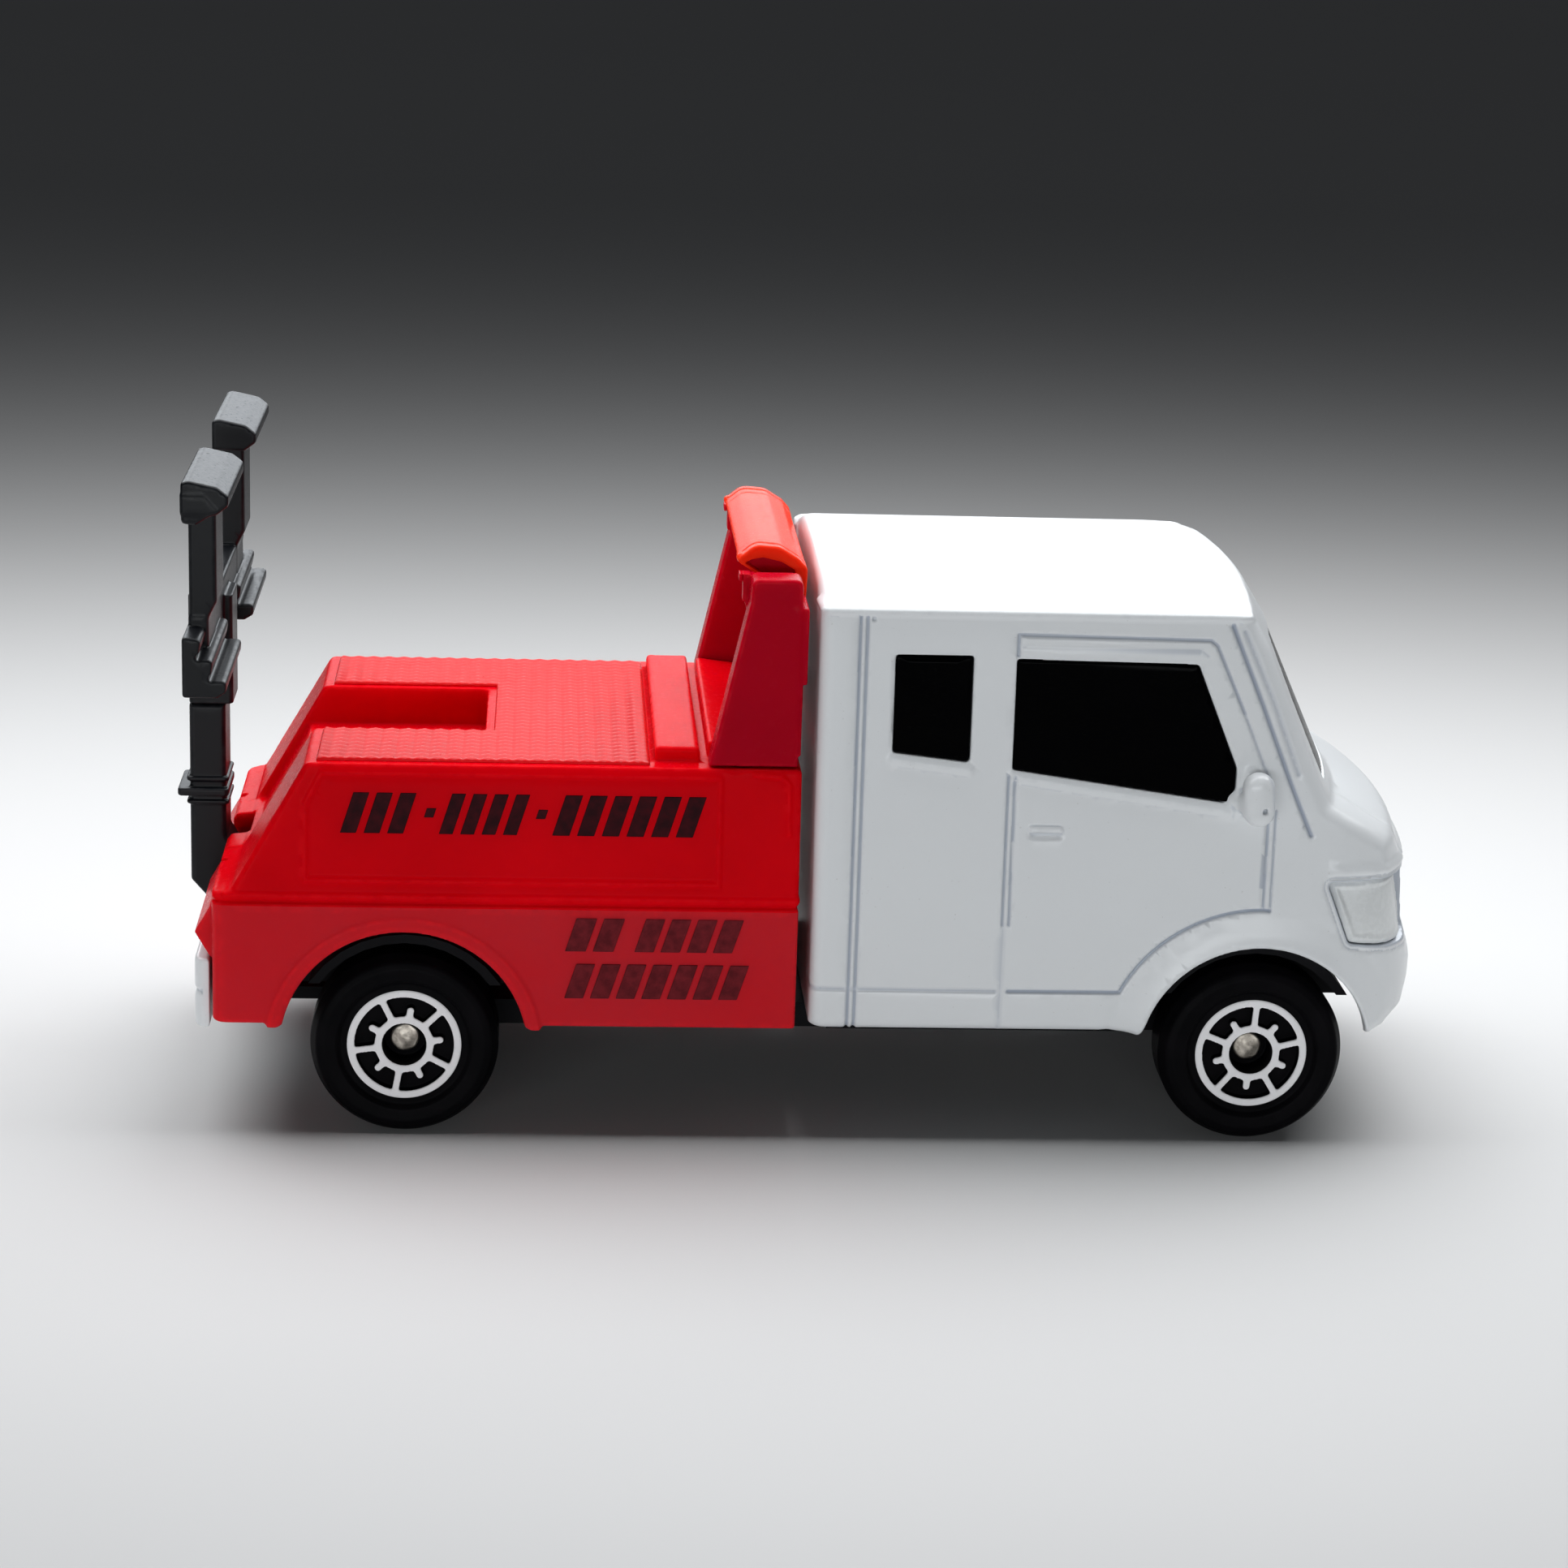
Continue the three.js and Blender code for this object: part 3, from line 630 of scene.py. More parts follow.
FRONT_ARCH, FRONT_FLARE, FLARE_HEIGHT = 7.2, 9.35, 0.3
GUTTER_Z, GUTTER_END, GUTTER_HEIGHT = 33.5, 26.6, 0.24  # the rain gutter above the doors
LIP_Z, LIP_START, LIP_HEIGHT = 17.9, 31.6, 0.16  # the bonnet's lip above the lamps
BONNET_LINE = [(32.2, 21.3), (33.6, 20.55), (35.7, 19.75), (36.8, 19.1), (37.1, 18.0)]
BONNET_LINE_Y, LINE_DEPTH = 10.3, 0.1
GRIP = ((13.4, 14.2, 20.25), (15.1, 14.2, 20.25))  # ends of the door handle's bar
SILL_REAR, SILL_FRONT = [(4.85, 24.45), (9.4, 23.85)], [(12.2, 23.5), (25.3, 21.55)]
SLAT_PITCH, SLAT_DEPTH, SLATS_HALF = 0.8, 0.12, 7.7
PANE_BACK, LAMP_BACK, INSERT_THICK = 0.12, 0.35, 1.5  # how deep the inserts lie in their openings
ROOF_PIT = (3.35, 33.0)


def bow_back(x, y):
    """How far the bowed front lies behind its middle at a place."""
    t = np.clip((x - 18) / 12, 0, 1)
    return CAB_BOW * t * t * (3 - 2 * t) * (y / HALF_WIDTH) ** 2


def cab_form(clay, side_corners):
    """The cab's outer form, from its side, front and plan outlines. The side outline is bowed."""
    step = clay.step
    reach = np.arange(clay.x.min(), clay.x.max() + CAB_BOW + 2 * step, step, dtype=np.float32)
    table = outline(side_corners, reach[:, None], clay.z[0])
    side = rows_at(table, (clay.x + bow_back(clay.x, clay.y) - reach[0])[:, :, 0] / step)
    front = outline(CAB_FRONT, clay.y, clay.z)
    plan = outline(CAB_PLAN, clay.x, clay.y)
    return meet(meet(side, front, 0.85), plan, 1.3)


def window_outline(x, y, z, gap):
    side = np.minimum(outline(REAR_WINDOW, x, z), outline(FRONT_WINDOW, x, z))
    front = np.maximum(outline(WINDSCREEN, y, z), 24 - x)
    return np.minimum(np.maximum(side, 11.5 - y), front) + gap


def lamp_outline(x, y, z, gap):
    lamp = meet(outline(LAMP_SIDE, x, z), LAMP_INNER - y, 0.3)
    grille = np.maximum(outline(GRILLE, y, z), 32 - x)
    return np.minimum(lamp, grille) + gap


DOOR_GROOVES = [  # (points, half width, depth)
    ([(2.58, 7.0), (2.58, 33.1)], 0.17, 0.17),
    ([(3.0, 7.0), (3.0, 33.1)], 0.17, 0.17),
    ([(11.84, 14.2), (11.84, 23.5)], 0.16, 0.15),
    ([(12.24, 14.2), (12.24, 23.5)], 0.16, 0.15),
    ([(11.9, 7.6), (11.9, 14.2)], 0.25, 0.06),
    ([(12.1, 30.9), (12.1, 32.2), (23.7, 32.05), (24.1, 31.75), (26.0, 27.6)], 0.19, 0.15),
    ([(12.3, 31.5), (23.2, 31.4), (23.6, 31.1)], 0.16, 0.05),
    ([(26.0, 27.6), (27.7, 23.6), (27.95, 21.4)], 0.2, 0.08),
    ([(27.83, 21.6), (27.83, 15.4)], 0.16, 0.17),
    ([(28.25, 21.6), (28.25, 15.4)], 0.16, 0.11),
    ([(28.25, 15.3), *arc(FRONT_AXLE_X, WHEEL_RADIUS, 9.6, 90, 154, 16), (12.4, 9.95)], 0.19, 0.2),
    ([(0.0, 10.0), (11.6, 9.95)], 0.25, 0.09),
    ([(25.0, 32.95), (27.1, 28.1), (28.95, 23.6), (30.5, 20.1)], 0.24, 0.2),
    ([(25.75, 32.6), (27.75, 28.3), (29.5, 23.9)], 0.3, 0.08),
]
DEEPEST = 0.2


def groove_depth(x, z):
    depth = np.zeros(np.broadcast(x, z).shape, np.float32)
    for points, half_width, deep in DOOR_GROOVES:
        depth = np.maximum(depth, deep * bump(line(points, x, z), half_width))
    return depth


def cab_shadow(x, y, z):
    """Painted shade for the white enamel, from 0 to 1, where shade falls: the grooves on the sides and the
    step round the lamps.
    """
    on_side = np.clip((y - 11.6) / 0.5, 0, 1)
    lines = groove_depth(x, z) / DEEPEST * on_side
    lamp = np.abs(lamp_outline(x, y, z, 0.0))
    # Painted shade along the lamps' outline, under the bonnet's lip.
    lamp_step_shade = 0.7 * bump(lamp, 0.22) * (x > 31.2) * (z < 18)
    return np.maximum(lines, lamp_step_shade)


def engrave_doors(clay):
    near = ((-1, 33), (11.4, 20), (6.5, 34))

    def lines(x, y, z):
        return -groove_depth(x, z)

    def ledges(x, y, z):
        return 0.2 * bump(np.minimum(line(SILL_REAR, x, z), line(SILL_FRONT, x, z)), 0.5)

    def flare(x, y, z):
        r = radius_from(x, z, FRONT_AXLE_X, WHEEL_RADIUS)
        t = np.clip((FRONT_FLARE - r) / (FRONT_FLARE - FRONT_ARCH - 0.25), 0, 1)
        return FLARE_HEIGHT * t * t - 0.05 * bump(np.abs(r - FRONT_FLARE), 0.5)

    clay.raise_by(lines, near)
    clay.raise_by(ledges, near)
    clay.raise_by(flare, ((18, 38.5), (12.3, 20), (6.5, 15.6)))


def model_cab(clay, form, cavity):
    clay.d[...] = form
    engrave_doors(clay)
    gutter = ((0.0, 27.2), (11, 20), (32.4, 34.6))
    clay.raise_by(lambda x, y, z: (
        GUTTER_HEIGHT * bump(np.abs(z - GUTTER_Z), 0.42) * np.clip((GUTTER_END - x) / 0.5, 0, 1)), gutter)
    lip = ((31, 40), (0, 20), (16.8, 19.2))
    clay.raise_by(lambda x, y, z: (
        LIP_HEIGHT * bump(np.abs(z - LIP_Z), 0.5) * np.clip((x - LIP_START) / 0.8, 0, 1)), lip)
    bonnet = ((31.5, 39), (9.2, 11.5), (17.5, 22))
    clay.raise_by(lambda x, y, z: (
        -LINE_DEPTH * bump(np.hypot(line(BONNET_LINE, x, z) * 0.3, y - BONNET_LINE_Y), 0.4)), bonnet)
    clay.cut(cavity)
    clay.cut(bore(FRONT_AXLE_X, WHEEL_RADIUS, FRONT_ARCH), 0.22, ((20, 36), (0, 20), (6, 14)))
    clay.cut(lambda x, y, z: window_outline(x, y, z, 0.0), 0.12)
    lamps = ((30, 40), (0, 20), (12, 18.5))
    clay.raise_by(lambda x, y, z: (
        -LINE_DEPTH * bump(np.abs(lamp_outline(x, y, z, 0.0) - 0.28), 0.2) * (x > 31)), lamps)
    clay.cut(lambda x, y, z: lamp_outline(x, y, z, 0.0), 0.08, lamps)

    grip = ((12.6, 15.9), (13, 20), (19, 21.6))
    clay.raise_by(lambda x, y, z: -0.16 * bump(line([(13.6, 19.95), (15.0, 19.95)], x, z), 0.55), grip)
    clay.add(lambda x, y, z: capsule(*GRIP, 0.2, x, y, z), 0.1, grip)

    def mirror_head(x, y, z):
        shell = capsule((27.0, 15.15, 21.9), (26.9, 15.15, 23.3), 0.98, x, y, z)
        shell = meet(shell, between(14.25, 16.12, y), 0.45)
        arm = capsule((25.6, 13.5, 22.2), (26.8, 14.9, 22.2), 0.62, x, y, z)
        foot = capsule((25.9, 13.9, 21.6), (26.6, 13.9, 23.9), 0.36, x, y, z)
        return join(join(shell, arm, 0.4), foot, 0.3)

    near = ((24.6, 28.9), (12.5, 20), (20.2, 25))
    clay.add(mirror_head, 0.25, near)
    clay.cut(lambda x, y, z: capsule((27.25, 15.7, 22.05), (27.25, 17, 22.05), 0.17, x, y, z), 0.08, near)
    pit = ((2.8, 3.9), (13, 20), (32.6, 33.4))
    clay.raise_by(lambda x, y, z: -0.2 * bump(radius_from(x, z, *ROOF_PIT), 0.22), pit)


def model_insert(clay, form, inner, outside, low, high, rear):
    """An insert that fills openings of the casting and joins up behind them, inside its wall."""
    clay.d[...] = np.maximum(outside, -(form + INSERT_THICK))
    clay.add(lambda x, y, z: overlap(inner + 1.4, -(inner + 2.0), between(low, high, z), rear - x))


def model_windows(clay, form, inner):
    pane = meet(form + PANE_BACK, window_outline(clay.x, clay.y, clay.z, 0.04), 0.07)
    model_insert(clay, form, inner, pane, 21.4, 32.4, 2.7)


def model_grille(clay, form, inner):
    x, y, z = clay.x, clay.y, clay.z
    face = form + LAMP_BACK + 0.13 * np.clip(z - 14.0, 0, 3)
    slats = SLAT_DEPTH * np.cos((z - 13.8) * 2 * math.pi / SLAT_PITCH) * (y < SLATS_HALF)
    rim = 0.16 * bump(np.abs(lamp_outline(x, y, z, 0.42)), 0.26)
    face = face - slats - rim
    body = meet(face, lamp_outline(x, y, z, 0.05), 0.1)
    model_insert(clay, form, inner, body, 13.0, 17.7, 31.2)


def make_cab(paint, black, silver):
    clay = Clay.around("cab_shell", (0.5, 0.5, 0.5), CAB_STEP)
    form = cab_form(clay, CAB_SIDE)
    open_side = [(x, z - 8 if z < 12 and x < 38 else z, *r) for x, z, *r in CAB_SIDE]
    inner = cab_form(clay, open_side)
    model_cab(clay, form, lambda x, y, z: inner + WALL)
    place(clay.mesh("cab_casting", 0.02, cab_shadow), "truck", paint, "white_paint", ["cab_shell"])
    model_windows(clay, form, inner)
    place(clay.mesh("window_moulding", 0.02), "truck", black, "window_plastic", ["window_insert"])
    model_grille(clay, form, inner)
    place(clay.mesh("grille_moulding", 0.02), "truck", silver, "lamp_silver", ["grille_insert"])


# ---- Bed ----

BED_STEP = 0.11
BED_REAR, BED_FRONT, BED_BELT, DECK_Z = -36.1, -0.5, 14.9, 23.6
DECK_REAR, DECK_HALF = -30.3, 13.42
SHOULDER_HALF, SHOULDER_Z = 14.25, 15.2  # where the sides start to lean in
SLOT_FRONT, SLOT_HALF, SLOT_FLOOR = -19.8, 5.2, 21.0
PIVOT_X, PIVOT_Z = -35.9, 12.6
REAR_ARCH, REAR_FLARE = 7.5, 8.55

BED_SIDE = [
    (BED_REAR, SKIRT_Z, 0.25), (BED_FRONT, SKIRT_Z), (BED_FRONT, DECK_Z, 0.5), (DECK_REAR, DECK_Z, 0.5),
    (-34.8, 15.75, 0.15), (BED_REAR, 15.45, 0.25),
]
BED_SECTION = mirrored([
    (HALF_WIDTH, 0.0), (HALF_WIDTH, BED_BELT, 0.15), (SHOULDER_HALF, SHOULDER_Z), (DECK_HALF, DECK_Z),
])
BED_PLAN = [
    (BED_REAR, -HALF_WIDTH - 0.01, 1.4), (BED_FRONT, -HALF_WIDTH - 0.01), (BED_FRONT, HALF_WIDTH + 0.01),
    (BED_REAR, HALF_WIDTH + 0.01, 1.4),
]
HOUSING = [
    (-31.0, 19.8), (-31.0, 20.7), (-31.35, 20.7), (-34.1, 15.9, 0.2), (-35.8, 15.7, 0.2), (-36.1, 14.4),
    (-37.1, PIVOT_Z, 0.15), (-36.1, 11.1), (-36.1, 9.8), (-32.4, 9.8),
]
SLOPE_RECESS = [(-31.0, 21.3), (-31.35, 20.7, 0.3), (-34.05, 15.95, 0.15), (-37.0, 15.95), (-37.0, 21.3)]
LEDGE = [(-35.6, 14.5), (-36.2, 14.2), (-37.1, 12.65, 0.12), (-36.2, 11.1), (-35.6, 10.8)]
LEDGE_PIT = (-35.85, 7.2)  # a sprue mark in the ledge behind the slope
PANEL_FRAME = [(-5.5, 16.4), (-5.5, 22.95), (-29.4, 22.95), (-30.4, 21.0), (-30.4, 16.4), (-5.5, 16.4)]
CORNER_LINE = [(-3.4, 23.2), (-1.75, 23.05), (-1.35, 22.6), (-1.3, 19.6)]
GANTRY_PEG = (-4.2, 11.9)  # where each fin's peg stands in the deck
RELIEF, BELT_GROOVE, BELT_RIB = 0.1, (15.0, 0.2), (15.42, 0.13)  # height, then (level, depth or height)
LEDGE_HALF, BOOM_TURN, PIN_HOLE = 13.0, 2.8, 0.56
CROSS_BLOCK, BLOCK_HALF = [(-9.45, 23.0), (-6.75, 23.0), (-6.75, 24.38, 0.3), (-9.45, 24.38, 0.3)], 11.8
FRONT_RAMP, RAMP_HALF = [(-6.2, 23.0), (-1.9, 23.0), (-1.9, 24.0), (-6.2, 24.5, 0.2)], 10.7


def bed_form(clay, side):
    side = outline(side, clay.x, clay.z)
    section = outline(BED_SECTION, clay.y, clay.z)
    plan = outline(BED_PLAN, clay.x, clay.y)
    return meet(meet(side, section, 0.38), plan, 0.3)


def bed_relief(x, y, z):
    """Height of the raised lines on the bed's sides."""
    relief = RELIEF * bump(line(PANEL_FRAME, x, z), 0.26)
    relief = relief + RELIEF * bump(line(CORNER_LINE, x, z), 0.24)
    rib_z, rib_height = BELT_RIB
    relief = relief + rib_height * bump(np.abs(z - rib_z) + 0 * x, 0.3) * (x > -35.2)
    groove_z, depth = BELT_GROOVE
    return relief - depth * bump(np.abs(z - groove_z) + 0 * x, 0.2)


def rear_flare(x, y, z):
    """Height of the lip round the rear wheel arch."""
    r = radius_from(x, z, REAR_AXLE_X, WHEEL_RADIUS)
    step_up = np.clip((REAR_FLARE - r) / 0.22, 0, 1)
    chamfer = np.clip((REAR_ARCH + 0.32 - r) / 0.32, 0, 1)
    return (0.3 * step_up - 0.2 * chamfer) * (r < REAR_FLARE + 0.3)


def model_bed(clay):
    form = bed_form(clay, BED_SIDE)
    open_side = [(x, z - 8 if z < 10 else z, *r) for x, z, *r in BED_SIDE]
    inner = bed_form(clay, open_side)
    clay.d[...] = form
    clay.raise_by(bed_relief, ((-37, 0), (12.4, 20), (14, 24)))
    clay.raise_by(rear_flare, ((-34, -15), (13.6, 20), (6.8, 15.2)))
    clay.cut(lambda x, y, z: inner + WALL)
    slot_near = ((-38, SLOT_FRONT + 2), (0, SLOT_HALF + 2), (18, 26))

    def slot_tray(x, y, z):
        tray = overlap(between(-36, SLOT_FRONT + WALL, x), y - SLOT_HALF - WALL)
        return overlap(tray, between(SLOT_FLOOR - WALL, DECK_Z, z), form_part)

    form_part = form[clay.cuts(slot_near)]
    clay.add(slot_tray, 0.0, slot_near)

    def slot(x, y, z):
        return meet(meet(x - SLOT_FRONT, y - SLOT_HALF, 0.5), SLOT_FLOOR - z, 0.15)

    clay.cut(slot, 0.18, slot_near)
    housing = ((-38, -29), (0, 6.5), (8.5, 22.5))
    clay.add(prism(HOUSING, -SLOT_HALF, SLOT_HALF, 0.0), 0.0, housing)
    clay.cut(prism(SLOPE_RECESS, -SLOT_HALF, SLOT_HALF, 0.3), 0.15, housing)
    rear = ((-38, -35), (0, 14), (10, 15.5))
    clay.add(prism(LEDGE, -LEDGE_HALF, LEDGE_HALF, 0.15), 0.1, rear)
    front = ((-10.2, -0.4), (0, 13), (22.6, 25.2))
    clay.add(prism(CROSS_BLOCK, -BLOCK_HALF, BLOCK_HALF, 0.25), 0.1, front)
    clay.add(prism(FRONT_RAMP, -RAMP_HALF, RAMP_HALF, 0.1), 0.05, front)
    clay.cut(bore(REAR_AXLE_X, WHEEL_RADIUS, REAR_ARCH), 0.1, ((-33, -16), (0, 20), (6, 14.2)))

    def boom_clearance(x, y, z):
        turn = radius_from(x, z, PIVOT_X, PIVOT_Z) - BOOM_TURN
        way = np.maximum(between(9.2, 17.0, z), x - (PIVOT_X + 1.3))
        return np.maximum(np.minimum(turn, way), y - 2.2)

    clay.cut(boom_clearance, 0.12, ((-38, -32), (0, 3), (8.5, 18)))
    pit = ((-37, -35), (6, 8.5), (14.5, 16.5))
    clay.cut(lambda x, y, z: overlap(radius_from(x, y, *LEDGE_PIT) - 0.3, 15.0 - z), 0.12, pit)
    cheeks = ((-38, -34), (0, 6.5), (11, 18))
    clay.cut(bore(PIVOT_X, PIVOT_Z, PIN_HOLE), 0.06, cheeks)
    clay.cut(lambda x, y, z: overlap(radius_from(x, y, *GANTRY_PEG) - 0.9, 21.5 - z), 0, front)


TREAD_STEP = 0.1
TREAD_WAVE, TREAD_ROW, TREAD_SWING = 1.0, 0.8, 0.34
TREAD_HEIGHT, TREAD_BORDER = 0.18, 0.15
PLATE_TOP, PLATE_UNDER = DECK_Z - 0.03, DECK_Z - 0.1


def tread_plate(name, x0, x1, half, notch_x, notch_half):
    """A thin plate in the deck, notched round the slot, whose top has zigzag ribs and a smooth border."""
    xs = np.linspace(x0, x1, int((x1 - x0) / TREAD_STEP) + 1)
    ys = np.linspace(-half, half, int(2 * half / TREAD_STEP) + 1)
    x, y = np.meshgrid(xs, ys, indexing="ij")
    to_notch = np.maximum(x - notch_x, np.abs(y) - notch_half)
    to_rim = np.minimum(np.minimum(x - x0, x1 - x), half - np.abs(y))
    inside = np.clip(np.minimum(to_rim, to_notch) / TREAD_BORDER, 0, 1)
    saw = np.abs(((x / TREAD_WAVE) % 1) - 0.5) * 2
    row = (y + TREAD_SWING * saw) / TREAD_ROW
    rib = bump(np.abs((row % 1) - 0.5), 0.42)
    top = PLATE_TOP + (0.02 + TREAD_HEIGHT * rib) * inside
    under = np.full_like(top, PLATE_UNDER)
    points = np.concatenate([np.stack([x, y, h], -1).reshape(-1, 3) for h in (top, under)])
    size = x.size
    index = np.arange(size).reshape(x.shape)
    quads = np.stack([index[:-1, :-1], index[1:, :-1], index[1:, 1:], index[:-1, 1:]], -1)
    kept = quads[(to_notch[:-1, :-1] > -1e-6) & (to_notch[1:, 1:] > -1e-6)]
    edges = np.concatenate([kept[:, [i, (i + 1) % 4]] for i in range(4)])
    codes, back = edges[:, 0] * size + edges[:, 1], edges[:, 1] * size + edges[:, 0]
    rim = edges[~np.isin(codes, back)]
    wall = np.stack([rim[:, 0] + size, rim[:, 1] + size, rim[:, 1], rim[:, 0]], -1)
    used, faces = np.unique(np.concatenate([kept, kept[:, ::-1] + size, wall]), return_inverse=True)
    return build_mesh(name, points[used] * MM, np.zeros((0, 3), int), faces.reshape(-1, 4))


def make_bed(red, tread):
    clay = Clay.around("bed", (0.5, 0.3, 0.5), BED_STEP)
    model_bed(clay)
    place(clay.mesh("bed_moulding", 0.02), "truck", red, "red_plastic", ["bed"])
    plate = tread_plate(
        "deck_tread", DECK_REAR + 0.55, -9.75, DECK_HALF - 0.7, SLOT_FRONT + 0.5, SLOT_HALF + 0.45)
    place(plate, "truck", tread, "red_plastic")


# ---- Printed graphics ----

PRINT_PROUD = 0.02
SLANT = 0.32  # how far a mark's top leans forward for its height


def side_surface(z):
    """Half width of the bed's side at a height."""
    if z < BED_BELT:
        return HALF_WIDTH
    return SHOULDER_HALF - (z - SHOULDER_Z) * (SHOULDER_HALF - DECK_HALF) / (DECK_Z - SHOULDER_Z)


def mark(x0, x1, z0, z1, side):
    """A slanted bar of print as eight points, from just under the surface to just proud of it."""
    lean = SLANT * (z1 - z0)
    outline = [(x0, z0), (x1, z0), (x1 + lean, z1), (x0 + lean, z1)]
    if side > 0:
        outline = [(x1, z0), (x0, z0), (x0 + lean, z1), (x1 + lean, z1)]
    return [(x, side * (side_surface(z) + out), z) for out in (-0.12, PRINT_PROUD) for x, z in outline]


def bars(x0, x1, z0, z1, count, gap=0.42):
    """Evenly spaced slanted bars that fill a stretch."""
    lean = SLANT * (z1 - z0)
    width = (x1 - x0 - lean - gap * (count - 1)) / count
    return [(x0 + i * (width + gap), x0 + i * (width + gap) + width, z0, z1) for i in range(count)]


GRAPHICS = [
    *bars(-28.3, -23.7, 19.3, 21.8, 3), (-23.3, -22.7, 20.3, 20.9), *bars(-22.4, -16.9, 19.3, 21.8, 4),
    (-16.6, -16.0, 20.3, 20.9), *bars(-15.6, -6.3, 19.3, 21.8, 6),
    *bars(-14.7, -11.1, 12.2, 14.3, 2), *bars(-10.5, -3.9, 12.2, 14.3, 4), *bars(-14.7, -3.5, 9.2, 11.4, 7),
]


def make_graphics(ink):
    box_faces = [(0, 3, 2, 1), (4, 5, 6, 7), (0, 1, 5, 4), (1, 2, 6, 5), (2, 3, 7, 6), (3, 0, 4, 7)]
    for name, side in (("left_side_print", 1), ("right_side_print", -1)):
        points, quads = [], []
        for x0, x1, z0, z1 in GRAPHICS:
            quads += [[len(points) + i for i in face] for face in box_faces]
            points += mark(x0, x1, z0, z1, side)
        mesh = build_mesh(name, np.array(points) * MM, np.zeros((0, 3), int), np.array(quads))
        mesh.shade_flat()
        piece = place(mesh, "truck", ink, "black_print")
        bevel = piece.modifiers.new("soft_corners", "BEVEL")
        bevel.width, bevel.segments, bevel.limit_method = 0.05 * MM, 2, "NONE"


# ---- Gantry and light bar ----

FIN_INNER, FIN_OUTER, FIN_TOP = 10.9, 13.2, 35.15
FIN = [
    (-6.2, DECK_Z), (-0.85, DECK_Z), (-0.85, FIN_TOP, 0.55), (-3.9, FIN_TOP, 0.5), (-4.0, 33.6, 0.6),
]
HEADBOARD_REAR, HEADBOARD_FRONT, HEADBOARD_TOP, HEADBOARD_STEP = -1.4, -0.45, 33.4, 28.7
LOUVRES = [(-4.62, 34.55), (-4.38, 33.3), (-4.14, 32.8)]  # (rear edge, lower end) of each slat
LOUVRE_SPAN = (9.9, 11.0)
BAR_HALF = 9.3
BAR_TOP = [
    (-0.45, 33.0), (-0.4, 35.0, 0.5), (-0.95, 35.6, 0.5), (-2.1, 36.3, 1.2), (-3.6, 36.4, 1.1),
    (-4.75, 35.45, 0.25),
]
BAR_UNDER = [(-4.4, 35.2), (-3.8, 35.5), (-3.1, 35.65), (-2.0, 35.4), (-1.15, 34.9), (-1.15, 33.0)]


def make_gantry(red, orange):
    low, high = box_mm("gantry")
    margin = Vector((0.3, 0.3, 0.3))
    high.z = box_mm("light_bar")[1].z  # the tongue reaches up into the bar
    clay = Clay(low - margin, high + margin, 0.08)
    cheek = rounded(BAR_TOP + [(-3.7, 34.75), (-1.15, 33.0)], 10)

    def tongue(x, y, z):
        return meet(polygon(cheek, x, z) + 0.22, between(6.8, BAR_HALF - 0.45, y), 0.1)

    def headboard(x, y, z):
        front = meet(
            between(HEADBOARD_REAR, HEADBOARD_FRONT, x), between(HEADBOARD_STEP, HEADBOARD_TOP, z), 0.12)
        back = overlap(between(HEADBOARD_REAR - 0.4, -0.7, x), between(24.3, 30.0, z))
        return meet(np.minimum(front, back), y - FIN_OUTER + 0.05, 0.12)

    clay.add(prism(FIN, FIN_INNER, FIN_OUTER, 0.22))
    clay.add(headboard, 0.15)
    clay.add(tongue)
    near = ((-5.2, -3.4), (9.4, 11.5), (32, 36))
    for rear, end in LOUVRES:
        clay.add(lambda x, y, z: meet(
            overlap(between(rear, rear + 0.2, x), between(end, 35.0, z)), between(*LOUVRE_SPAN, y), 0.05),
            0.0, near)
    clay.add(block((-4.2, -3.6), LOUVRE_SPAN, (33.0, 34.9)), 0.0, near)
    ribs = ((-1.9, -1.0), (0, 10.9), (24.6, 33.2))
    clay.raise_by(lambda x, y, z: 0.14 * bump(np.abs(np.abs(y - 4.8) - 2.4) + 0 * z, 0.4) * (z < 32.6), ribs)
    clay.add(lambda x, y, z: overlap(radius_from(x, y, *GANTRY_PEG) - 0.7, between(22.0, 24.0, z)))
    place(clay.mesh("gantry_moulding", 0.01), "truck", red, "red_plastic", ["gantry"])

    clay = Clay.around("light_bar", margin, 0.07)
    bar = rounded(BAR_TOP, 10) + BAR_UNDER

    def ends(x, y, z):
        side = polygon(cheek, x, z)
        solid_end = meet(side, between(BAR_HALF - 2.2, BAR_HALF, y), 0.12)
        return meet(solid_end, -np.maximum(side + 0.17, BAR_HALF - 1.6 - y), 0.06)

    clay.add(prism(bar, -BAR_HALF, BAR_HALF, 0.12))
    clay.add(ends, 0.08)
    clay.add(lambda x, y, z: capsule((-4.45, 8.4, 35.55), (-4.45, 8.9, 35.55), 0.26, x, y, z), 0.1)
    groove = ((-5, 0), (0, 9.6), (34.5, 37))
    clay.raise_by(lambda x, y, z: -0.07 * bump(np.abs(y - 8.35) + 0 * x, 0.22) * (z > 35.0), groove)
    place(clay.mesh("light_bar_moulding", 0.01), "truck", orange, "light_bar_plastic", ["light_bar"])


# ---- Boom ----

STEM_REAR, STEM_FRONT, STEM_HALF, STEM_TOP = -38.35, -36.1, 1.9, 24.0
CRADLE_HALF, CRADLE_INNER, RAIL_IN, RAIL_OUT = 15.5, 4.6, 7.7, 12.4
CRADLE_REAR, CRADLE_FRONT, BAR_FRONT = -37.25, -35.6, -36.15
NECK_Z, BAR_Z, BAR_TOP_Z, PAD_Z = 24.03, 28.2, 32.1, 38.3

